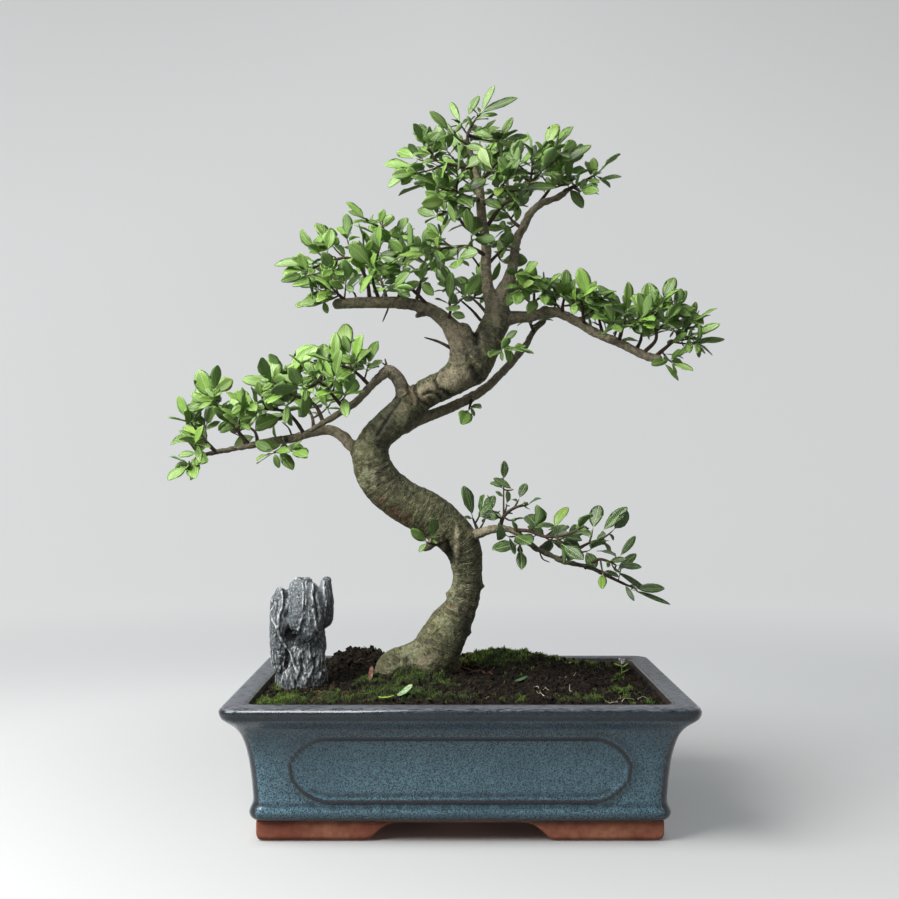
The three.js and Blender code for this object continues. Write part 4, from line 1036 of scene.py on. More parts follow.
LIMBS = {
    "left_root": [
        (-7, 6, 103, 10.5), (-13, 6, 92, 11.5), (-22, 5, 84, 10.6), (-32, 3, 82.5, 9.5), (-39, 1, 81.5, 8.3),
        (-43, 0, 76, 7.4), (-44, 0, 66, 6),
    ],
    "right_root": [(-13, 8, 89, 9), (-8, 12, 79, 8), (-5, 15, 66, 6)],
    "back_root": [(-24, 12, 84, 9), (-26, 23, 81, 6.6), (-28, 34, 76, 5.2), (-30, 46, 67, 3.5)],
    "old_cut": [(2, -2, 256, 8), (2.5, -3, 266, 6.4), (3, -3, 274, 5.2), (3.2, -3, 279, 4)],
    "right_knob": [(8, 3, 126, 3), (12, 3, 126.6, 2), (14.6, 3, 127.2, 1)],
    "low_knob": [(0, 6, 101, 3), (4.4, 6, 99.6, 2), (6.6, 6, 99.2, 1.1)],
    "left_knob": [(-3, 4, 122.5, 3), (-6.8, 3, 122.3, 1.4)],
    "limb_knob": [(-19, -8, 290.5, 2.4), (-22.5, -9, 287.4, 1.6), (-25, -9.5, 286, 1.1)],
    "left_fork": [
        (6, 0, 256, 8.5), (3, -2, 266, 7.6), (-2, -4, 276, 6), (-8, -5, 284, 4.6),
        (-19, -7, 291, 3.8), (-34, -9, 294, 3.5), (-54, -11, 294, 3.4), (-71, -13, 293, 3.1),
    ],
    "right_fork": [
        (8, 0, 258, 9.6), (16, 2, 271, 9.4), (21, 4, 283, 7.7), (24, 5, 296, 6.2), (30, 8, 310, 3.9),
        (33, 11, 322, 3), (35, 13, 335, 2.7), (39, 14, 343, 2.6), (43, 14, 351, 2.4),
        (50, 12, 357, 2.1), (59, 10, 360, 1.9), (65, 8, 364, 1.7),
    ],
    "crown_stem": [
        (23, 4, 291, 4.8), (18, 2, 300, 3.9), (16, 0, 315, 3.1), (16, -2, 329, 3), (13, -4, 350, 2.8),
        (12, -5, 363, 2.5), (9, -6, 376, 1.8), (6, -6, 386, 1.5),
    ],
    "right_limb": [
        (21, 4, 283, 5.5), (32, 6, 287, 3.9), (43, 8, 288, 3.3), (56, 9, 291, 3), (69, 8, 286, 2.8),
        (82, 6, 278, 2.7), (97, 3, 271, 2.6), (110, 0, 264, 2.5), (118, -2, 262, 2.4),
    ],
    "lower_limb": [
        (-32, 0, 222, 4.5), (-24, 3, 226, 3.6), (-4, 10, 234, 3.1), (14, 15, 244, 2.8),
        (27, 18, 256, 2.5), (40, 20, 271, 2.1), (46, 20, 281, 1.8), (52, 18, 287, 1.5),
    ],
    "arch_limb": [
        (-31, -5, 236, 5), (-35, -10, 248, 4), (-41, -13, 253.6, 3.6), (-46, -15, 250, 2.8),
        (-51, -17, 245, 2.3), (-59, -19, 236, 2.2), (-67, -21, 230, 2), (-77, -22, 224, 1.7),
        (-85, -23, 219, 1.3),
    ],
    "left_limb": [
        (-52, -4, 205, 4.7), (-63, -1, 210, 3.6), (-69, 3, 216, 3.3), (-78, 7, 220, 3),
        (-90, 10, 218, 2.7), (-100, 12, 215, 2.6), (-110, 13, 214, 2.4), (-120, 13, 212, 2.1),
        (-135, 12, 209, 1.7), (-145, 11, 207, 1.5), (-154, 10, 205, 1.3),
    ],
    "low_right_limb": [
        (0, 3, 154, 5), (10, -3, 158, 3), (18, -7, 161, 2.5), (24, -10, 162, 2.2),
        (31, -13, 161, 1.9), (38, -16, 156, 1.7), (44, -18, 151, 1.6), (53, -20, 147, 1.5),
        (61, -21, 143, 1.5), (72, -22, 141, 1.3), (82, -23, 137, 1.2),
    ],
    "trunk_stub": [(-12, -2, 157, 4), (-17, -8, 152, 2.4), (-20, -10, 150, 1.4)],
}
# Grooves in the front of the bark, as points of x and z, with their depth and half width
BARK_GROOVES = [
    ([(-12.6, 255), (-14.3, 249), (-11.6, 243.8), (-5.6, 240.4), (1.6, 239.8)], 1.7, 0.9),
    ([(-21, 240), (-17, 241.6), (-12.4, 240), (-10.4, 237.6)], 1.6, 0.8),
    ([(-26, 247), (-25.4, 242), (-23, 236.6), (-17, 233)], 1.2, 0.8),
    ([(-29.8, 246), (-29.4, 240), (-27, 234.5)], 0.9, 0.8),
    ([(10, 279), (10.6, 271)], 2.2, 1.6),
    ([(8.5, 255), (11.2, 250.5)], 2.6, 2.6),
    ([(-35, 236.6), (-39.3, 230.7), (-44, 223), (-47.5, 216.5)], 1.6, 1.1),
    ([(-7.4, 153.5), (-6, 147), (-4.2, 141)], 2.4, 1.7),
    ([(-14, 150), (-9.5, 146), (-7, 140)], 1.2, 1.1),
    ([(-53, 196), (-46, 199), (-41, 203)], 0.7, 0.8),
    ([(-44, 188), (-38, 191), (-32, 190)], 0.5, 0.7),
]
# Raised lips and plates beside them
BARK_LIPS = [
    ([(-10.6, 253), (-12, 248.6), (-9.8, 245), (-4.6, 242.6), (2, 242)], 0.9, 1.3),
    ([(-3, 256), (-2, 250), (0, 245)], 1.1, 5.5),
    ([(-27.5, 246), (-27, 240.5), (-25, 235)], 1.3, 1.2),
    ([(-19.5, 244.5), (-14.5, 243.6)], 0.8, 2.4),
    ([(-1.2, 163), (-0.6, 154), (-0.6, 145)], 1.1, 1.6),
    ([(-10.5, 158), (-9.3, 151), (-8.8, 146)], 1.0, 1.3),
    ([(-50, 208), (-47, 200), (-48, 192)], 0.5, 2.5),
]
# Patches on the front of the bark, as x, z, half width, half height and turn in degrees
BARK_PATCHES = {
    "pale_bark": [
        (-2, 249.6, 11.5, 7, -8), (-18.5, 242.8, 6.5, 4.6, 20), (21.6, 288, 2.6, 9, 8),
        (-9.2, 152, 2, 7, -12), (-1, 154, 2.2, 11, 0), (-33, 232, 2.5, 4, 0), (-20, 84, 9, 3, 30),
        (14, 276, 2, 3, 0),
    ],
    "lichen": [
        (-43.4, 233, 5.5, 7.5, -35), (-47.8, 225, 3.4, 7, -10), (-53, 207, 8, 10, 0), (-54, 191, 8, 8, 20),
        (-33.4, 227, 3.6, 7, 0), (-26, 90, 10, 7, 35), (-38, 78, 9, 5, 20), (-9, 104, 5, 9, 20),
        (-3.4, 132, 3, 14, 0),
    ],
    # Mostly painted shade in the grooves, the forks and under the limbs, and a few dark spots of the bark
    # itself
    "bark_shade_and_dark_spots": [
        (3, 270, 6, 12, 0), (10.6, 269, 3, 10, 0), (10.8, 251.6, 4.6, 5.6, 0), (15, 277, 3.4, 7, 20),
        (-45, 211, 5, 3.6, 0), (-43, 222, 2.2, 9, -32), (-6, 148, 2.4, 7, 0), (-17, 151, 6, 3, 25),
        (10, 158, 4.4, 6, 0), (-9, 241.6, 7, 1.4, -24), (-9.4, 254.7, 1.6, 1.6, 0), (-12, 75, 9, 5, 0),
        (3, 108, 3, 12, 12), (-22, 228, 7, 2.4, 25), (-36, 176, 1.6, 1.2, 0),
    ],
    "rusty_bark": [
        (-27.3, 240.7, 2.2, 7, 8), (-45, 179.2, 3.4, 2.2, -20), (-36, 170, 11, 4.6, -32),
        (-4.5, 275, 5, 1.8, 45), (-21, 237, 6, 3, -20), (-48, 176, 4, 3, -30),
    ],
}
RUSTY_LINE = [(-7.6, 116), (-2, 115.6), (4.8, 114.2)]


class Stem:
    """The middle line of a stem in small steps, with its radius, length and sides at each."""

    def __init__(self, route):
        spots = smooth_line([p[:3] for p in route], 14)
        radii = smooth_line([(p[3], 0) for p in route], 14)
        self.spots = np.array(spots)
        self.radii = np.array([r[0] for r in radii])
        steps = np.linalg.norm(np.diff(self.spots, axis=0), axis=1)
        self.lengths = np.concatenate([[0], np.cumsum(steps)])
        ahead = np.gradient(self.spots, axis=0)
        self.ahead = ahead / np.linalg.norm(ahead, axis=1)[:, None]
        side = np.cross(self.ahead[0], (0, 1, 0.2))
        sides = []
        for direction in self.ahead:
            side = side - direction * side.dot(direction)
            side /= np.linalg.norm(side)
            sides.append(side)
        self.sides = np.array(sides)

    def tube(self, name):
        """A closed tube along the stem, as a curve that is turned into a mesh."""
        curve = bpy.data.curves.new(name, "CURVE")
        curve.dimensions = "3D"
        curve.bevel_depth = 1
        curve.bevel_resolution = 5
        curve.use_fill_caps = True
        line = curve.splines.new("POLY")
        line.points.add(len(self.spots) - 1)
        line.points.foreach_set("co", np.column_stack([self.spots, np.ones(len(self.spots))]).ravel())
        line.points.foreach_set("radius", self.radii)
        tube = bpy.data.objects.new(name, curve)
        bpy.context.collection.objects.link(tube)
        return tube

    def nearest(self, points):
        """For each point, the nearest place on the stem and the gap to its surface there."""
        place = np.empty(len(points), int)
        gap = np.empty(len(points))
        for start in range(0, len(points), 4000):
            part = points[start:start + 4000]
            away = np.linalg.norm(part[:, None] - self.spots[None], axis=2) - self.radii
            best = away.argmin(axis=1)
            place[start:start + 4000] = best
            gap[start:start + 4000] = away[np.arange(len(part)), best]
        return place, gap


def blend_gaps(first, second, width):
    """The gap to two stems at once, with a fillet between them."""
    share = np.clip(0.5 + 0.5 * (second - first) / width, 0, 1)
    return second * (1 - share) + first * share - width * share * (1 - share)


def grow_trunk(stems):
    """The tubes melted together, then drawn onto the exact round stems with filleted forks."""
    tubes = [stem.tube(f"tube_{i}") for i, stem in enumerate(stems)]
    select_only(*tubes)
    bpy.ops.object.convert(target="MESH")
    trunk = join_pieces(tubes)
    voxel_remesh(trunk, 0.95)
    mesh = trunk.data
    for _ in range(2):
        points = read_points(mesh)
        normals = read_normals(mesh)
        total = None
        for stem in stems:
            place, gap = stem.nearest(points)
            width = 1.5 + 0.45 * stem.radii[place]
            total = gap if total is None else blend_gaps(total, gap, width)
        points -= normals * np.clip(total, -2, 2)[:, None]
        mesh.vertices.foreach_set("co", points.ravel())
        mesh.update()
        smooth_out(trunk, 1, 0.5)
    return trunk


def lay_grain(trunk, stems):
    """Straightened coordinates of the bark: across, beside and along the nearest stem."""
    points = read_points(trunk.data)
    best_gap = np.full(len(points), 1e9)
    grain = np.zeros((len(points), 3))
    girth = np.zeros(len(points))
    for number, stem in enumerate(stems):
        place, gap = stem.nearest(points)
        radius = stem.radii[place]
        depth = gap - 0.15 * radius
        mine = depth < best_gap
        out = points - stem.spots[place]
        side = stem.sides[place]
        beside = np.cross(stem.ahead[place], side)
        angle = np.arctan2((out * beside).sum(1), (out * side).sum(1))
        along = stem.lengths[place] + (out * stem.ahead[place]).sum(1)
        laid = np.column_stack([np.cos(angle) * radius, np.sin(angle) * radius, along + 97 * number])
        grain[mine] = laid[mine]
        girth[mine] = radius[mine]
        best_gap[mine] = depth[mine]
    return grain, girth


def roughen_bark(trunk, grain, girth):
    """Rings, long ripples and knobs, deeper on thick old wood, with the grooves and lips in front."""
    mesh = trunk.data
    points = read_points(mesh)
    normals = read_normals(mesh)
    facing = np.clip(0.25 - normals[:, 1] * 1.5, 0, 1)
    carved = np.zeros(len(points))
    for line, depth, half_width in BARK_GROOVES:
        carved -= facing * depth * drawn_line_share(points, line, half_width)
    for line, rise, half_width in BARK_LIPS:
        carved += facing * rise * drawn_line_share(points, line, half_width)
    for i, (across, beside, along) in enumerate(grain):
        size = min(1.0, girth[i] / 9)
        laid = Vector((across, beside, along))
        ripple = noise.noise(Vector((across * 0.22, beside * 0.22, along * 0.045)))
        rings = noise.noise(Vector((across * 0.07, beside * 0.07, along * 0.5)))
        knobs = noise.fractal(laid * 0.16, 0.9, 2, 3)
        old = math.exp(-max(0, points[i][2] - 84) / 22)
        crack = max(0, 0.16 - abs(noise.noise(Vector((across * 0.3, beside * 0.3, along * 0.09))))) / 0.16
        wrinkled = math.exp(-((points[i][0] - 4) / 8) ** 2 - ((points[i][2] - 266) / 11) ** 2)
        folds = noise.noise(Vector((across * 0.1, beside * 0.1, along * 0.42)))
        small = max(0.0, 1 - girth[i] / 6)
        buds = noise.fractal(laid * 0.33, 0.8, 2.2, 3)
        push = size * (0.5 * ripple + 0.35 * rings + 0.4 * knobs) + 0.75 * small * buds - 0.35 * old * crack
        flute = noise.noise(Vector((across * 0.12, beside * 0.12, along * 0.02)))
        points[i] += normals[i] * (push + 0.45 * old * flute + 0.8 * wrinkled * folds + carved[i])
    mesh.vertices.foreach_set("co", points.ravel())
    mesh.update()


def patch_shares(points, normals, patches):
    """From 0 outside the patches to 1 inside them, on the side that faces the front."""
    share = np.zeros(len(points))
    for x, z, half_width, half_height, turn in patches:
        angle = math.radians(turn)
        right, up = points[:, 0] - x, points[:, 2] - z
        across = (right * math.cos(angle) + up * math.sin(angle)) / half_width
        along = (up * math.cos(angle) - right * math.sin(angle)) / half_height
        share = np.maximum(share, np.clip(1.5 - np.hypot(across, along) * 0.9, 0, 1))
    return share * np.clip(0.35 - normals[:, 1] * 2, 0, 1)


def bark_surface():
    bark = Surface("elm_bark")
    laid = bark.attribute("bark_grain", "Vector")
    where = bark.place()
    girth = bark.attribute("bark_girth")
    wear_and_crevice_shade = bark.attribute("bark_ridge")
    cloud = bark.grain(where, 55, 3)
    blotch = bark.grain(where, 170, 5, 0.68)
    mottle = bark.grain(where, 420, 4, 0.6)
    fine = bark.grain(where, 1100, 3)
    rings = bark.grain(bark.stretched(laid, (70, 70, 900)), 1, 3, 0.6, 0.3)
    dashes = bark.grain(bark.stretched(laid, (190, 190, 1500)), 1, 2)
    thick = girth.between(0.003, 0.007)
    colour = bark.mix(cloud.between(0.35, 0.65), paint("46452c"), paint("5c5b3b"))
    colour = bark.mix(mottle.between(0.48, 0.64) * 0.6, colour, paint("7a7a56"))
    colour = bark.mix((1 - mottle.between(0.36, 0.5)) * 0.65, colour, paint("2c2c1c"))
    colour = bark.mix((1 - blotch.between(0.36, 0.47)) * 0.4, colour, paint("33331e"))
    colour = bark.mix(rings.between(0.55, 0.66) * 0.5, colour, paint("8c8b6a"))
    colour = bark.mix((1 - rings.between(0.33, 0.43)) * 0.5, colour, paint("262517"))
    colour = bark.mix(dashes.between(0.62, 0.68) * thick * 0.75, colour, paint("b0ad89"))
    rusty = (bark.attribute("rusty_bark") + (blotch - 0.5) * 0.9).between(0.5, 1.0)
    colour = bark.mix(rusty * 0.45, colour, paint("6f4d38"))
    lichen = (bark.attribute("lichen") * 0.7 + (blotch - 0.5) * 2.3).between(0.4, 0.66)
    crust = bark.mix(cloud.between(0.42, 0.6), paint("8f9270"), paint("7b7f48"))
    colour = bark.mix(lichen * 0.5, colour, bark.mix(mottle.between(0.4, 0.6), crust, paint("abac8c")))
    everywhere = (blotch + thick * 0.03).between(0.6, 0.68)
    colour = bark.mix(everywhere * thick * 0.4, colour, paint("7c8054"))
    pale = (bark.attribute("pale_bark") + (mottle - 0.5) * 0.7).between(0.45, 0.9)
    bare = bark.mix(blotch.between(0.4, 0.62), paint("8a8066"), paint("b3a98a"))
    colour = bark.mix(pale * 0.8, colour, bare)
    pinholes = bark.cells(where, 420).between(0.16, 0.24)
    colour = bark.mix((1 - pinholes) * pale * 0.7, colour, paint("2b2218"))
    # Painted shade in the grooves, the forks and under the limbs, with a few dark spots of the bark.
    shade_and_spots = (bark.attribute("bark_shade_and_dark_spots") + (blotch - 0.5) * 0.8).between(0.45, 1.05)
    shade_and_spots_colour = bark.mix(mottle.between(0.4, 0.6), paint("1d1b13"), paint("3f3b2c"))
    colour = bark.mix(shade_and_spots * 0.8, colour, shade_and_spots_colour)
    thin = 1 - girth.between(0.0018, 0.005)
    colour = bark.mix(thin * 0.6, colour, paint("4a3d2e"))
    # The thinner limbs are painted lighter, as painted light where the leaves shade them.
    limb_painted_light = girth.between(0.0014, 0.0026) * (1 - girth.between(0.0055, 0.0085))
    colour = bark.mix(limb_painted_light * (mottle.between(0.38, 0.62) * 0.5 + 0.4), colour, paint("a89c82"))
    # Near black in the bark's hollows as painted shade, and paler on its ridges for wear.
    colour = bark.mix((1 - wear_and_crevice_shade.between(0.12, 0.42)) * 0.7, colour, paint("1a170f"))
    colour = bark.mix(wear_and_crevice_shade.between(0.6, 0.85) * 0.25, colour, paint("aaa487"))
    colour = bark.mix(fine.between(0.57, 0.74) * 0.42, colour, paint("b9b596"))
    colour = bark.mix((1 - fine.between(0.28, 0.43)) * 0.6, colour, paint("17160e"))
    ringed = bark.relief(rings, 0.0006)
    dotted = bark.relief(mottle, 0.0009, ringed)
    rough = bark.relief(fine, 0.0008, dotted)
    return bark.finish(colour=colour, roughness=0.6 + 0.3 * fine, normal=rough, specular=0.3)


stems = [Stem(route) for route in [TRUNK, *LIMBS.values()]]
trunk = grow_trunk(stems)
bark_grain, bark_girth = lay_grain(trunk, stems)
roughen_bark(trunk, bark_grain, bark_girth)
trunk.name = "elm_trunk"
bark_points, bark_normals = read_points(trunk.data), read_normals(trunk.data)
for patch, places in BARK_PATCHES.items():
    shares = patch_shares(bark_points, bark_normals, places)
    if patch == "rusty_bark":
        in_front = drawn_line_share(bark_points, RUSTY_LINE, 0.9) * (bark_normals[:, 1] < 0)
        shares = np.maximum(shares, 1.3 * in_front)
    mark_points(trunk, patch, shares)
mark_ridges_and_hollows(trunk, "bark_ridge", 0.3)
trunk.data.attributes.new("bark_grain", "FLOAT_VECTOR", "POINT").data.foreach_set(
    "vector", (bark_grain * 0.001).ravel())
mark_points(trunk, "bark_girth", bark_girth * 0.001)
trunk.data.polygons.foreach_set("use_smooth", [True] * len(trunk.data.polygons))
trunk.data.materials.clear()
trunk.data.materials.append(bark_surface())
to_frame(trunk)
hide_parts("trunk")
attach(trunk, "root")

# The leafy sprays: fine brown twigs off the ends of the limbs, with short thorn-like side shoots.
# The leaves are small, oval, glossy and folded along the midrib, and stand in turn on each side.
# Each spray has its stem, and the tips of the shoots that leave it.
SPRAYS = {
    "crown_top": (
        [(8, -6, 380), (5, -6, 392), (8, -7, 400), (13, -8, 406)],
        [(1, -3, 401), (-5, -11, 394), (16, 8, 398), (26, 9, 394)]),
    "crown_left": (
        [(9, -6, 374), (-2, -9, 375), (-13, -12, 377), (-18, -13, 385)],
        [(-21, -20, 385), (-25, 0, 381), (-25, -16, 369), (-18, -8, 364), (-8, 4, 388)]),
    "crown_left_front": (
        [(14, -4, 355), (4, -13, 356), (-5, -20, 359)],
        [(-13, -26, 359), (-1, -25, 366), (-8, -26, 350)]),
    "crown_droop": (
        [(15, -2, 333), (4, -7, 339), (-2, -9, 346), (-11, -10, 348)],
        [(-2, -6, 355), (-13, -12, 344)]),
    "crown_front": (
        [(14, -4, 352), (20, -14, 357), (26, -22, 361)],
        [(30, -27, 367), (19, -24, 369), (36, -19, 358)]),
    "crown_right": (
        [(17, -2, 341), (25, -3, 352), (32, -5, 356), (40, -6, 361), (43, -6, 372), (43, -6, 381)],
        [(51, -5, 387), (57, 0, 386), (61, 5, 384), (49, -16, 371), (36, 3, 373), (32, -14, 377)]),
    "crown_right_back": (
        [(46, 13, 354), (54, 17, 365), (60, 20, 374)],
        [(68, 20, 382), (69, 8, 371), (50, 28, 380)]),
    "crown_fork_tip": ([(63, 8, 363), (69, 7, 366), (77, 5, 370), (84, 4, 374)], [(73, 2, 362)]),
    "crown_fork_low": ([(38, 13, 342), (33, 17, 347), (29, 19, 353)], [(28, 22, 343), (37, 22, 358)]),
    "crown_back": (
        [(13, -4, 351), (13, 14, 363), (9, 26, 374)],
        [(-2, 34, 381), (18, 32, 386), (-9, 24, 368), (2, 24, 387)]),
    "crown_back_right": (
        [(12, -5, 365), (19, 12, 377), (26, 24, 387)],
        [(35, 28, 393), (25, 18, 396), (33, 34, 381)]),
    "middle_left": (
        [(16, -2, 323), (6, -9, 327), (-4, -14, 326), (-13, -18, 324)],
        [(-11, -12, 332), (-19, -24, 320), (7, -14, 333), (-1, -22, 317)]),
    "middle_right": ([(16, -1, 317), (23, 6, 325), (29, 10, 331)], [(32, 16, 337), (26, 16, 323)]),
    "right_shoulder": ([(32, 9, 314), (36, 2, 312), (40, -2, 310)], [(36, -6, 302)]),
    "right_root": ([(45, 8, 289), (45, 6, 298), (45, 5, 305)], [(38, 12, 301), (51, -2, 301)]),
    "right_a": ([(62, 9, 290), (62, 3, 295), (63, 1, 300)], [(56, 14, 300), (69, -7, 295)]),
    "right_b": ([(75, 7, 283), (73, -3, 290), (72, -7, 296)], [(77, -14, 297), (81, -2, 292)]),
    "right_c": ([(86, 5, 276), (85, 12, 285), (84, 16, 292)], [(78, 22, 291), (93, 19, 290)]),
    "right_d": ([(95, 3, 272), (97, -2, 281), (99, -4, 290)], [(105, -12, 284), (89, -14, 283)]),
    "right_e": (
        [(110, 1, 266), (116, -5, 273), (115, -6, 283), (113, -6, 291)],
        [(105, -15, 284), (121, -3, 295), (121, -14, 283), (129, 3, 291)]),
    "right_end": (
        [(116, -1, 263), (123, -2, 269), (130, 0, 275), (134, 2, 281)],
        [(139, 8, 285), (137, -7, 274), (129, 12, 281), (142, -6, 271), (125, -8, 259)]),
    "right_back": ([(105, 2, 267), (110, 14, 275), (112, 24, 285)], [(103, 30, 289), (122, 26, 290)]),
    "upper_left_end": (
        [(-65, -13, 293), (-70, -15, 298), (-75, -16, 303)],
        [(-81, -14, 294), (-83, -10, 302), (-74, -4, 310), (-65, -26, 303)]),
    "upper_left_far": (
        [(-52, -11, 294), (-54, -14, 307), (-61, -16, 318), (-71, -19, 318), (-86, -21, 312)],
        [(-89, -26, 308), (-83, -18, 323), (-74, -14, 327), (-65, -20, 330), (-72, -30, 310)]),
    "upper_left_middle": (
        [(-46, -10, 294), (-50, -13, 305), (-50, -17, 316)],
        [(-55, -20, 322), (-46, -22, 323), (-41, -28, 312)]),
    "upper_left_top": (
        [(-36, -9, 294), (-34, -7, 306), (-37, -5, 319), (-40, -4, 330), (-47, -4, 343)],
        [(-55, -3, 344), (-35, 2, 336), (-47, 8, 336), (-30, -14, 323)]),
    "upper_left_front": (
        [(-17, -7, 291), (-26, -14, 300), (-35, -20, 306), (-43, -24, 309)],
        [(-50, -30, 312), (-32, -26, 313), (-38, -33, 299), (-22, -26, 305)]),
    "upper_left_back": (
        [(-42, -10, 294), (-45, 6, 305), (-49, 18, 316)],
        [(-59, 26, 324), (-38, 25, 324), (-60, 16, 312)]),
    "upper_left_inner": (
        [(-26, -8, 292), (-23, 4, 306), (-21, 8, 318), (-19, 8, 326)],
        [(-13, 4, 332), (-28, 14, 329), (-9, 0, 320)]),
    "centre_front": ([(-7, -5, 283), (-5, -13, 289), (-6, -18, 294)], [(3, -20, 296)]),
    "centre_back": ([(20, 3, 285), (13, 12, 295), (6, 22, 303)], [(-3, 28, 309), (13, 26, 312)]),
    "arch_top": (
        [(-52, -17, 245), (-58, -20, 251), (-64, -22, 255), (-70, -23, 256)],
        [(-65, -17, 263), (-59, -28, 259), (-53, -14, 257), (-76, -18, 252)]),
    "arch_middle": (
        [(-66, -21, 231), (-71, -25, 237), (-77, -27, 244), (-85, -28, 250)],
        [(-80, -20, 253), (-70, -34, 248), (-89, -31, 242), (-64, -33, 239)]),
    "arch_end": (
        [(-78, -22, 223), (-83, -18, 233), (-92, -16, 238), (-102, -15, 242), (-105, -14, 251)],
        [(-107, -22, 247), (-109, -8, 242), (-96, -20, 251), (-101, -8, 234)]),
    "left_inner": (
        [(-93, 10, 218), (-98, 6, 226), (-104, 2, 231), (-113, -1, 232), (-122, -2, 233)],
        [(-116, -6, 238), (-124, 4, 227), (-112, 10, 224), (-129, -8, 235)]),
    "left_middle": (
        [(-126, 13, 211), (-132, 8, 219), (-139, 5, 228), (-147, 4, 238)],
        [(-145, -1, 242), (-129, -6, 226), (-151, 8, 235)]),
    "left_outer": (
        [(-146, 11, 207), (-151, 7, 213), (-157, 5, 221), (-161, 4, 226)],
        [(-152, 13, 223), (-157, 16, 215), (-156, -3, 211)]),
    "left_tip": ([(-155, 10, 206), (-158, 8, 202), (-161, 7, 199)], [(-157, 4, 207)]),
    "left_under": ([(-103, 12, 215), (-106, 4, 209), (-110, 0, 206)], [(-98, -4, 207)]),
    "left_back": (
        [(-87, 9, 218), (-89, 20, 228), (-94, 28, 237)],
        [(-104, 32, 243), (-87, 32, 246), (-79, 28, 236)]),
    "left_back_outer": (
        [(-121, 13, 211), (-124, 22, 219), (-131, 28, 224)],
        [(-140, 31, 228), (-120, 33, 229)]),
    "low_right_root": ([(12, -4, 158), (10, -3, 163), (8, -4, 168)], [(12, -10, 170), (16, 4, 168)]),
    "low_right_up": (
        [(24, -10, 163), (26, -12, 169), (32, -14, 174), (40, -16, 176)],
        [(26, -11, 190), (28, -6, 176), (19, -20, 173), (35, -9, 179), (31, -22, 167)]),
    "low_right_under": ([(33, -14, 160), (35, -17, 154), (35, -19, 151)], [(28, -22, 158)]),
    "low_right_twig": (
        [(30, -12, 161), (40, -21, 161), (49, -26, 158), (60, -29, 159), (71, -30, 164)],
        [(43, -26, 164), (54, -22, 162), (58, -32, 154)]),
    "low_right_middle": (
        [(58, -20, 145), (66, -17, 149), (76, -15, 154), (84, -16, 156)],
        [(78, -10, 161), (74, -26, 150), (89, -16, 161)]),
    "low_right_outer": (
        [(72, -22, 140), (79, -27, 145), (85, -29, 144), (89, -30, 142)],
        [(91, -26, 146), (81, -34, 138)]),
    "low_right_tip": ([(80, -23, 138), (92, -25, 132), (99, -26, 129)], [(90, -20, 137)]),
    "low_right_back": ([(46, -18, 150), (51, -4, 153), (56, 8, 155)], [(49, 13, 159), (65, 14, 156)]),
    "trunk_tuft": ([(-9, -5, 154), (-15, -11, 153), (-19, -14, 154)], [(-15, -18, 157)]),
    "middle_front": ([(20, 0, 275), (26, -10, 270), (32, -14, 266)], [(24, -19, 265)]),
    "under_limb": ([(8, 13, 240), (7, 9, 236), (6, 6, 232)], []),
    "limb_top": ([(46, 20, 280), (43, 14, 285), (40, 10, 288)], [(49, 10, 286)]),
}
UP = Vector((0, 0, 1))
TO_FRONT = Vector((0, -1, 0))
LEAF_LENGTH = 14.5
LEAF_SPACING = 10
LEAF_ROOM = 3.3
SAME_CORNER = 0.15
# How full the twigs are besides one leaf every 10 mm, by the start of a spray's name
FULLNESS = {"crown": 2.5, "right": 3.1, "arch": 2.8, "left": 2.5, "upper_left": 2.0, "low_right": 0.5}
LEAF_SIZES = {"low_right_up": 0.5, "trunk_tuft": 0.6, "middle_front": 0.85, "right_e": 1.15, "right_d": 1.15}
# Painted light and shade on some pads, added to a leaf's own tone: lighter on the upper left, left, arch and
# right pads, and darker as painted shade on the low right pad
PAD_LIGHT_AND_SHADE = {"low_right": -0.95, "right": 0.3, "upper_left": 0.2, "arch": 0.25, "left": 0.25}
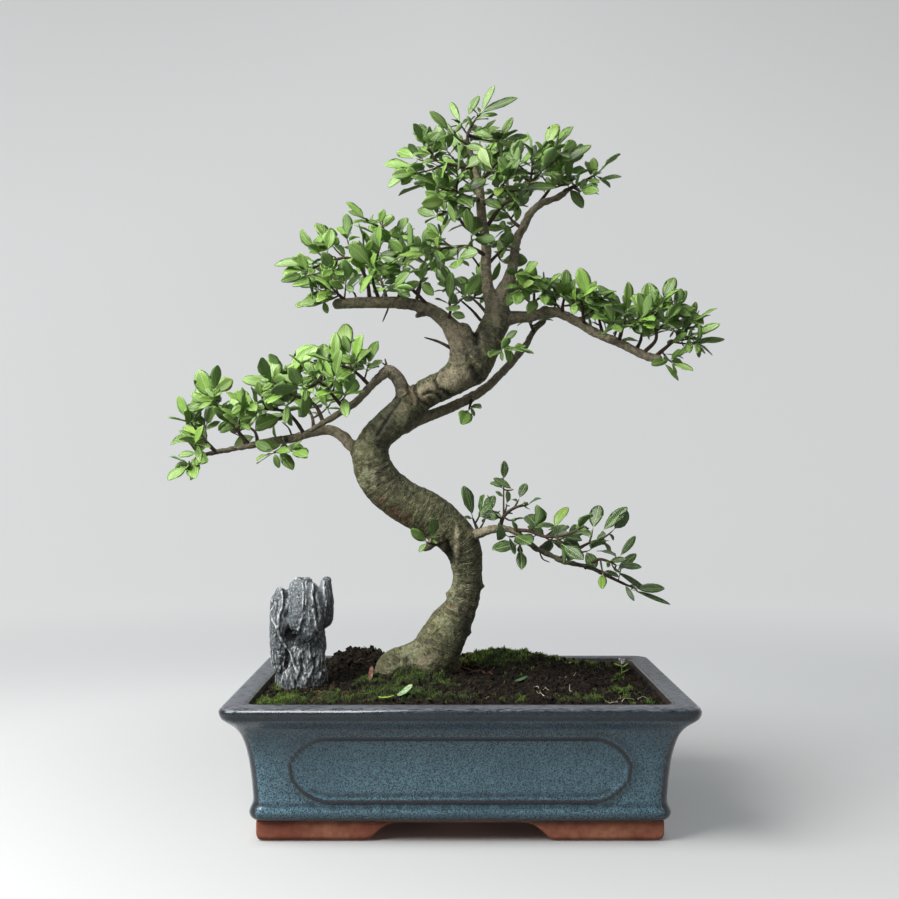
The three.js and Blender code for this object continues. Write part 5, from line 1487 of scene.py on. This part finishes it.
# Long leaves that stand clear of the pads: spray, foot, tip and width
LONG_LEAVES = [
    ("crown_top", (10.5, -9, 405), (34.4, -9, 415.4), 6),
    ("crown_top", (4.7, -6, 404), (11.4, -7, 417.6), 5),
    ("crown_left", (-27, -13, 373), (-43.8, -13, 375.6), 8),
    ("crown_left", (-29, -14, 370), (-42, -15, 362), 6),
    ("crown_right", (59, 4, 378), (79, 3, 390.6), 7),
    ("crown_right_back", (66, 10, 366), (75, 8, 354), 7),
    ("crown_fork_tip", (83, 4, 369), (97, 3, 373), 3.6),
    ("crown_left", (-18, -11, 386), (-21, -12, 398), 6),
    ("upper_left_far", (-78, -22, 315), (-107, -23, 317), 7),
    ("upper_left_far", (-74, -20, 310), (-97, -20, 303), 7),
    ("upper_left_end", (-70, -15, 297), (-93, -16, 293), 8),
    ("upper_left_far", (-76, -19, 323), (-74, -20, 335), 9),
    ("right_end", (134, 4, 270), (156, 3, 275.6), 3.8),
    ("right_end", (121, -1, 260), (130, -2, 249), 3.2),
    ("right_e", (113, -5, 290), (112, -6, 306.6), 11),
    ("right_c", (82, 10, 284), (81, 9, 301.6), 11),
    ("right_e", (122, -3, 287), (140, -4, 293), 6.5),
    ("right_b", (57, -6, 300), (37, -6, 311.6), 6),
    ("arch_end", (-99, -18, 255), (-82, -17, 268), 11),
    ("arch_middle", (-71, -24, 256), (-71, -26, 275), 7.5),
    ("arch_top", (-63, -20, 262), (-67, -19, 274), 6),
    ("left_inner", (-113, -4, 246), (-128, -5, 250), 7),
    ("left_middle", (-141, 2, 237), (-150, 1, 246), 7),
    ("left_tip", (-156, 8, 206), (-168, 7, 205.6), 4.6),
    ("left_tip", (-154, 8, 201), (-161, 8, 190), 3.6),
    ("low_right_middle", (82, -17, 160), (97, -18, 175), 7),
    ("low_right_tip", (98, -26, 128), (121, -26, 119.6), 3),
    ("low_right_outer", (88, -28, 139), (108, -29, 128), 3.6),
    ("low_right_up", (31.6, -13, 184.6), (20, -13, 191.6), 4.6),
    ("crown_left_front", (4, -15, 372), (14, -19, 378), 8),
    ("crown_front", (17, -15, 366), (6, -20, 360), 8),
    ("crown_left", (3, -12, 386), (14, -16, 382), 7),
    ("crown_front", (14, -14, 354), (24, -20, 349), 8),
    ("crown_left_front", (8, -12, 350), (-2, -16, 343), 7),
    ("crown_top", (8, -10, 394), (18, -14, 392), 6),
]
NARROW_LEAVES = ("low_right_tip", "right_end", "crown_top", "low_right_outer")
WHOLE = 0xffffffff


def number_stream(key):
    """A repeatable stream of numbers from 0 to 1, started by a whole number."""
    state = ((key + 1) * 0x9e3779b1) & WHOLE
    while True:
        state = (state + 0x6d2b79f5) & WHOLE
        mixed = ((state ^ (state >> 15)) * (1 | state)) & WHOLE
        mixed = ((mixed + (((mixed ^ (mixed >> 7)) * (61 | mixed)) & WHOLE)) & WHOLE) ^ mixed
        yield ((mixed ^ (mixed >> 14)) & WHOLE) / 4294967296


def line_length(line):
    return sum((b - a).length for a, b in zip(line, line[1:]))


def along_line(line, distance):
    """The place at a distance along a line of points, and the direction there."""
    for a, b in zip(line, line[1:]):
        step = (b - a).length
        if distance <= step or b is line[-1]:
            direction = (b - a).normalized()
            return a + direction * distance, direction
        distance -= step
    return line[-1], (line[-1] - line[-2]).normalized()


def fork_place(line, tip):
    """Where a shoot leaves its stem: half the gap to its tip before the nearest point."""
    total = line_length(line)
    gap, nearest = min(((along_line(line, total * i / 40)[0] - tip).length, i) for i in range(41))
    return along_line(line, max(total * nearest / 40 - gap / 2, total / 5))[0]


class Leaf:
    """Where one leaf grows, which way it points and faces, and its size."""

    def __init__(self, key, foot, along, turn, attempt=0, splay=0.0):
        chance = number_stream(key * 8 + attempt)

        def draw(low, high):
            return low + (high - low) * next(chance)

        upright = UP + TO_FRONT * 0.25
        above = (upright - along * upright.dot(along)).normalized()
        beside = along.cross(above)
        azimuth = turn * math.pi / 2 + draw(-0.75, 0.75)
        tilt = splay + (draw(0.1, 0.4) if turn == 0 else draw(0.7, 1.2))
        outward = above * math.cos(azimuth) + beside * math.sin(azimuth)
        self.foot = foot
        self.ahead = (along * math.cos(tilt) + outward * math.sin(tilt) + UP * 0.12).normalized()
        facing = Vector((draw(-0.75, 0.75), draw(-0.75, 0.75), draw(-0.75, 0.75)))
        facing = facing + UP * 0.7 + TO_FRONT * 0.6
        self.face(facing)
        size = draw(0.95, 1.37) if turn == 0 else draw(0.74, 1.16)
        self.length = LEAF_LENGTH * size * (1 if attempt < 4 else 0.75)
        self.width = self.length * (0.47 + draw(-0.07, 0.09))
        self.droop = draw(0.02, 0.2)
        self.twist = draw(-0.35, 0.35)
        self.fold = draw(0.12, 0.4)
        self.wave = draw(0, 6.28)
        self.tone = next(chance)
        self.young = 0.0

    def face(self, facing):
        self.up = (facing - self.ahead * facing.dot(self.ahead)).normalized()
        self.side = self.ahead.cross(self.up)

    def middle(self):
        return self.foot + self.ahead * self.length * 0.55


# Share of the length and of the half width at each ring of a blade, from the stalk to the tip
BLADE_RINGS = [(0.0, 0.05), (0.12, 0.055), (0.17, 0.26), (0.29, 0.64), (0.45, 0.92), (0.62, 1.0),
               (0.78, 0.86), (0.9, 0.56), (0.97, 0.25)]


def leaf_points(leaf):
    """Rings of eight points round a thin blade on a short stalk, and its tip point."""
    points, across, under = [], [], []
    for share, breadth in BLADE_RINGS:
        half = leaf.width / 2 * breadth
        blade = max(0.0, (share - 0.12) / 0.88)
        drop = -leaf.droop * leaf.length * blade ** 2
        turn = leaf.twist * blade
        thick = 0.16 if share > 0.12 else 0.3 - share
        side = leaf.side * math.cos(turn) + leaf.up * math.sin(turn)
        up = leaf.up * math.cos(turn) - leaf.side * math.sin(turn)
        middle = leaf.foot + leaf.ahead * leaf.length * share + leaf.up * drop
        ring = [(-1, 0), (-0.5, 1), (0, 1), (0.5, 1), (1, 0), (0.5, -1), (0, -1), (-0.5, -1)]
        for out, skin in ring:
            ripple = 0.045 * leaf.width * math.sin(leaf.wave + share * 13) * out ** 2 * (breadth > 0.2)
            lift = leaf.fold * abs(out) * half + ripple - (0.12 if skin and not out else 0) * thick
            points.append(middle + side * out * half + up * (lift + skin * thick))
            across.append(0.5 + out * 0.5 * breadth)
            under.append(0.0 if skin > 0 else 1.0 if skin < 0 else 0.4)
    tip = leaf.foot + leaf.ahead * leaf.length + leaf.up * (-leaf.droop * leaf.length)
    return [*points, tip], [*across, 0.5], [*under, 0.4]


def leaf_faces():
    rings = len(BLADE_RINGS)
    faces = []
    for ring in range(rings - 1):
        for i in range(8):
            a, b = ring * 8 + i, ring * 8 + (i + 1) % 8
            faces.append((a, b, b + 8, a + 8))
    last = (rings - 1) * 8
    faces += [(last + i, last + (i + 1) % 8, last + 8) for i in range(8)]
    return [*faces, (7, 6, 5, 4, 3, 2, 1, 0)]


LEAF_FACES = leaf_faces()


class SprayMesh:
    """Collects the twigs and leaves of one spray into one mesh."""

    def __init__(self, tone=0.0):
        self.tone = tone
        self.points, self.faces, self.finish, self.marks = [], [], [], []

    def add_leaf(self, leaf):
        start = len(self.points)
        points, across, under = leaf_points(leaf)
        # The spray's painted light and shade is added to the leaf's own tone.
        tone = leaf.tone + self.tone
        self.points += points
        self.faces += [tuple(start + i for i in face) for face in LEAF_FACES]
        self.finish += [0] * len(LEAF_FACES)
        for i in range(len(points)):
            share = BLADE_RINGS[i // 8][0] if i < len(points) - 1 else 1.0
            self.marks.append((across[i], share, under[i], tone, leaf.young))

    def add_twig(self, line, thick, thin, sides=6):
        """A round twig along a line, pointed at its end, swollen where leaves leave it."""
        start = len(self.points)
        total = line_length(line)
        side = (line[1] - line[0]).cross(Vector((0.3, 1, 0.2))).normalized()
        done = 0.0
        for i, point in enumerate(line):
            ahead = (line[min(i + 1, len(line) - 1)] - line[max(i - 1, 0)]).normalized()
            side = (side - ahead * side.dot(ahead)).normalized()
            beside = ahead.cross(side)
            if i:
                done += (point - line[i - 1]).length
            share = done / total
            knot = 0.12 * math.exp(-((done % LEAF_SPACING - 5) / 0.9) ** 2)
            radius = thick + (thin - thick) * share + knot
            if i == len(line) - 1:
                radius *= 0.6
            for k in range(sides):
                angle = k * 2 * math.pi / sides
                self.points.append(point + (side * math.cos(angle) + beside * math.sin(angle)) * radius)
                self.marks.append((k / sides, share, 0, 0.5, 0))
        rings = len(line)
        for ring in range(rings - 1):
            for k in range(sides):
                a, b = start + ring * sides + k, start + ring * sides + (k + 1) % sides
                self.faces.append((a, b, b + sides, a + sides))
        last = start + (rings - 1) * sides
        self.faces.append(tuple(start + k for k in reversed(range(sides))))
        self.faces.append(tuple(last + k for k in range(sides)))
        self.finish += [1] * ((rings - 1) * sides + 2)

    def build(self, name):
        piece = new_piece(name, self.points, self.faces)
        mesh = piece.data
        mesh.polygons.foreach_set("material_index", self.finish)
        marks = np.array(self.marks)
        for column, mark in ((2, "leaf_under"), (3, "leaf_tone"), (4, "leaf_young")):
            mesh.attributes.new(mark, "FLOAT", "POINT").data.foreach_set("value", marks[:, column])
        corners = np.empty(len(mesh.loops), int)
        mesh.loops.foreach_get("vertex_index", corners)
        mesh.uv_layers.new(name="blade").data.foreach_set("uv", marks[corners][:, :2].ravel())
        return piece


def leaf_surface():
    leaf = Surface("elm_leaf")
    blade = leaf.node("ShaderNodeUVMap", {"uv_map": "blade"})
    across = (blade.part("X") - 0.5).size()
    along = blade.part("Y")
    where = leaf.place()
    tone = leaf.attribute("leaf_tone")
    young = leaf.attribute("leaf_young")
    under = leaf.attribute("leaf_under")
    vein_wave = ((along * 52) - (across * 46)).wave()
    veins = vein_wave.between(0.5, 0.9) * across.between(0.01, 0.05)
    midrib = 1 - across.between(0.008, 0.035)
    patches = leaf.grain(where, 190, 2)
    colour = leaf.mix(tone.between(-0.35, 1.35), paint("1f3d0d"), paint("87b442"))
    colour = leaf.mix(patches.between(0.4, 0.7) * 0.4, colour, paint("6f9a38"))
    colour = leaf.mix(young * 0.8, colour, paint("86a83e"))
    colour = leaf.mix(veins * 0.5, colour, paint("98b866"))
    colour = leaf.mix(midrib * 0.75, colour, paint("b6c98a"))
    colour = leaf.mix(under * 0.6, colour, paint("6f8f55"))
    ribs = leaf.relief(1 - veins * 0.6 - midrib, 0.00022)
    cells = leaf.relief(leaf.grain(where, 1500, 2), 0.00006, ribs)
    return leaf.finish(colour=colour, roughness=0.36 + 0.25 * under + 0.12 * patches, normal=cells,
                       coat=(1 - under) * 0.1, coat_roughness=0.3, depth=0.12,
                       depth_radius=(0.35, 0.6, 0.12), depth_scale=0.0012)


def twig_surface():
    twig = Surface("elm_twig")
    where = twig.place()
    speckle = twig.grain(where, 700, 3)
    colour = twig.mix(speckle.between(0.35, 0.65), paint("2c2119"), paint("52402f"))
    colour = twig.mix(twig.grain(where, 90, 2).between(0.55, 0.7) * 0.5, colour, paint("5c5740"))
    return twig.finish(colour=colour, roughness=0.7 + 0.2 * speckle,
                       normal=twig.relief(speckle, 0.0003), specular=0.35)


def grow_spray(owner, name, stem, shoots, room):
    """Dresses one spray. `room` finds the middles of leaves that are already there."""
    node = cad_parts[f"spray_{name}"]
    corners = KDTree(len(node.data.vertices))
    for vertex in node.data.vertices:
        corners.insert(vertex.co * 1000 - Vector((pot_middle * 1000, 0, 0)), vertex.index)
    corners.balance()
    spray = SprayMesh(sum(tone for pad, tone in PAD_LIGHT_AND_SHADE.items() if name.startswith(pad)))
    line = smooth_line(stem, 6)
    before_last, last = Vector(stem[-2]), Vector(stem[-1])
    start = before_last - (last - before_last).normalized()
    twigs = [(line, start, last, 0.45)]
    spray.add_twig(line, 1.3, 0.55, 8)
    for tip in shoots:
        tip = Vector(tip)
        fork = fork_place(line, tip)
        bow = (tip - fork).length * 0.06
        shares = (0, 0.2, 0.4, 0.6, 0.8, 1)
        bent = [fork + (tip - fork) * t - UP * bow * math.sin(math.pi * t) for t in shares]
        spray.add_twig(bent, 0.62, 0.38)
        twigs.append(([fork, tip], fork, tip, 0.3))
    for number, (chain, start, end, bare) in enumerate(twigs):
        key = (owner * 16 + number) * 16
        length = line_length(chain)
        count = int(length * (1 - bare) / LEAF_SPACING)
        spots = [(key, end, (end - start).normalized(), 0)]
        for i in range(1, count + 1):
            place = along_line(chain, length - (i - 0.5) * LEAF_SPACING)
            spots.append((key + i, *place, (i + number) % 2 * 2 - 1))
        for i, (leaf_key, foot, along, turn) in enumerate(spots):
            for attempt in range(6):
                leaf = Leaf(leaf_key, foot, along, turn, attempt)
                foot_corner = foot + leaf.ahead * leaf.length + leaf.up * 0.3
                if corners.find(foot_corner)[2] < SAME_CORNER:
                    leaf.young = 1.0 if turn == 0 and leaf.tone > 0.85 else 0.0
                    if name in NARROW_LEAVES:
                        leaf.width *= 0.6
                        leaf.face(TO_FRONT + leaf.up * 0.6)
                    size = min(1, LEAF_SIZES.get(name, 1) + 0.1)
                    leaf.length *= size
                    leaf.width *= size
                    spray.add_leaf(leaf)
                    room.append(leaf)
                    break
    return spray, twigs


leaf_green = leaf_surface()
twig_brown = twig_surface()
placed_leaves = []
sprays = {}
for owner, (name, (stem, shoots)) in enumerate(SPRAYS.items()):
    sprays[name] = grow_spray(owner, name, stem, shoots, placed_leaves)


def add_long_leaf(name, foot, tip, width):
    """A leaf at a place of its own, on a thin stalk from the nearest point of its spray's twigs."""
    spray, twigs = sprays[name]
    foot, tip = Vector(foot), Vector(tip)
    places = [along_line(chain, line_length(chain) * i / 12)[0]
              for chain, *_ in twigs for i in range(4, 13)]
    root = min(places, key=lambda place: (place - foot).length)
    bow = UP * 0.08 * (foot - root).length
    spray.add_twig([root, root.lerp(foot, 0.33) - bow, root.lerp(foot, 0.7) - bow * 0.7, foot], 0.5, 0.32)
    leaf = Leaf(len(placed_leaves), foot, (tip - foot).normalized(), 0)
    leaf.ahead = (tip - foot).normalized()
    leaf.face(TO_FRONT + UP * 0.5)
    leaf.length = (tip - foot).length
    leaf.width = width
    leaf.twist *= 0.4
    spray.add_leaf(leaf)
    placed_leaves.append(leaf)


for long_leaf in LONG_LEAVES:
    add_long_leaf(*long_leaf)


def fullness(name):
    shares = [share for start, share in FULLNESS.items() if name.startswith(start)]
    return shares[0] if shares else 1.6


def squeeze_in(spray, leaf):
    """Adds a leaf where no other leaf's middle is too near."""
    middle = leaf.middle()
    if any((other.middle() - middle).length <= LEAF_ROOM for other in placed_leaves):
        return False
    spray.add_leaf(leaf)
    placed_leaves.append(leaf)
    return True


# More leaves between the first ones, wherever there is room, and a rosette at the end of each twig
chance = random.Random(11)
for owner, (name, (spray, twigs)) in enumerate(sprays.items()):
    full = fullness(name)
    for number, (chain, start, end, bare) in enumerate(twigs):
        length = line_length(chain)
        spots = []
        for i in range(max(1, round(length * (1 - bare * 0.8) / LEAF_SPACING * full))):
            distance = length - (i + chance.uniform(0.05, 0.6)) * LEAF_SPACING / full
            if distance > length * bare * 0.4:
                spots.append((*along_line(chain, distance), (i + number + 1) % 2 * 2 - 1))
        ahead = (end - start).normalized()
        for i in range(round(full * 1.3)):
            spots.append((end - ahead * chance.uniform(0.3, 3.5), ahead, i % 4 - 1.5))
        for i, (foot, along, turn) in enumerate(spots):
            for attempt in range(9):
                key = 5000 + (owner * 16 + number) * 64 + i * 4
                leaf = Leaf(key + attempt * 100003, foot, along, turn, 0, chance.uniform(0, 0.5))
                shrink = chance.uniform(0.5, 1.12) * (1.3 if chance.random() > 0.88 else 1)
                shrink *= LEAF_SIZES.get(name, 1)
                leaf.length *= shrink
                leaf.width *= shrink * chance.uniform(0.75, 1.25)
                if name in NARROW_LEAVES:
                    leaf.width *= 0.6
                leaf.young = 1.0 if chance.random() > 0.93 else 0.0
                if squeeze_in(spray, leaf):
                    break

for name, (spray, twigs) in sprays.items():
    piece = spray.build(f"leaves_{name}")
    piece.data.materials.append(leaf_green)
    piece.data.materials.append(twig_brown)
    to_frame(piece)
    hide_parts(f"spray_{name}")
    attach(piece, "root")

# Dead twigs: bare, dark snags left on the trunk and limbs where shoots died back, of the same
# brown wood as the live twigs. Each is a line of x, y, z with its thickness at both ends.
DEAD_TWIGS = [
    ([(0, -3, 266), (-4, -4, 267.6), (-12, -6, 271.5), (-20.5, -7, 274)], 1.3, 0.45),
    ([(18, 3, 298), (9, 1, 298.4), (1.2, -1, 298.8)], 0.7, 0.35),
    ([(16.5, 1, 307), (11.2, 0, 304.8), (-2, -3, 300.4)], 0.65, 0.35),
    ([(13, 2, 285), (7.6, 0, 291), (1, -2, 296.5)], 1.0, 0.5),
    ([(-41, -9.5, 293), (-41.8, -10, 289.9), (-44.7, -11, 282.6)], 0.6, 0.4),
    ([(-42, -13, 253), (-42.3, -13.5, 257), (-43.2, -14, 261)], 0.9, 0.4),
    ([(-42.3, -13.5, 256.6), (-45, -14, 258.6)], 0.6, 0.3),
    ([(12, 0, 317), (8, -3, 322), (4.5, -4, 325.5)], 0.7, 0.4),
    ([(30, 8, 310), (34, 6, 314), (38.5, 4, 315.5)], 0.7, 0.4),
    ([(-60, -11, 294), (-61, -12, 299), (-65, -13, 302)], 0.7, 0.4),
    ([(-30, -8, 294), (-33, -9, 300), (-33.5, -11, 307)], 0.8, 0.4),
    ([(56, 9, 290), (58, 7, 296), (57, 5, 300)], 0.7, 0.4),
    ([(92, 4, 273), (94, 2, 279), (98, 1, 282)], 0.7, 0.35),
    ([(-100, 12, 215), (-102, 10, 221), (-106, 8, 225)], 0.7, 0.35),
    ([(-128, 12, 210), (-131, 10, 216), (-137, 9, 219)], 0.6, 0.35),
    ([(46, -18, 150), (48, -20, 145), (52, -21, 143)], 0.5, 0.3),
]
snags = SprayMesh()
for line, thick, thin in DEAD_TWIGS:
    snags.add_twig(smooth_line(line, 5), thick, thin)
snags = snags.build("dead_twigs")
snags.data.materials.append(twig_brown)
snags.data.materials.append(twig_brown)
to_frame(snags)
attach(snags, "root")
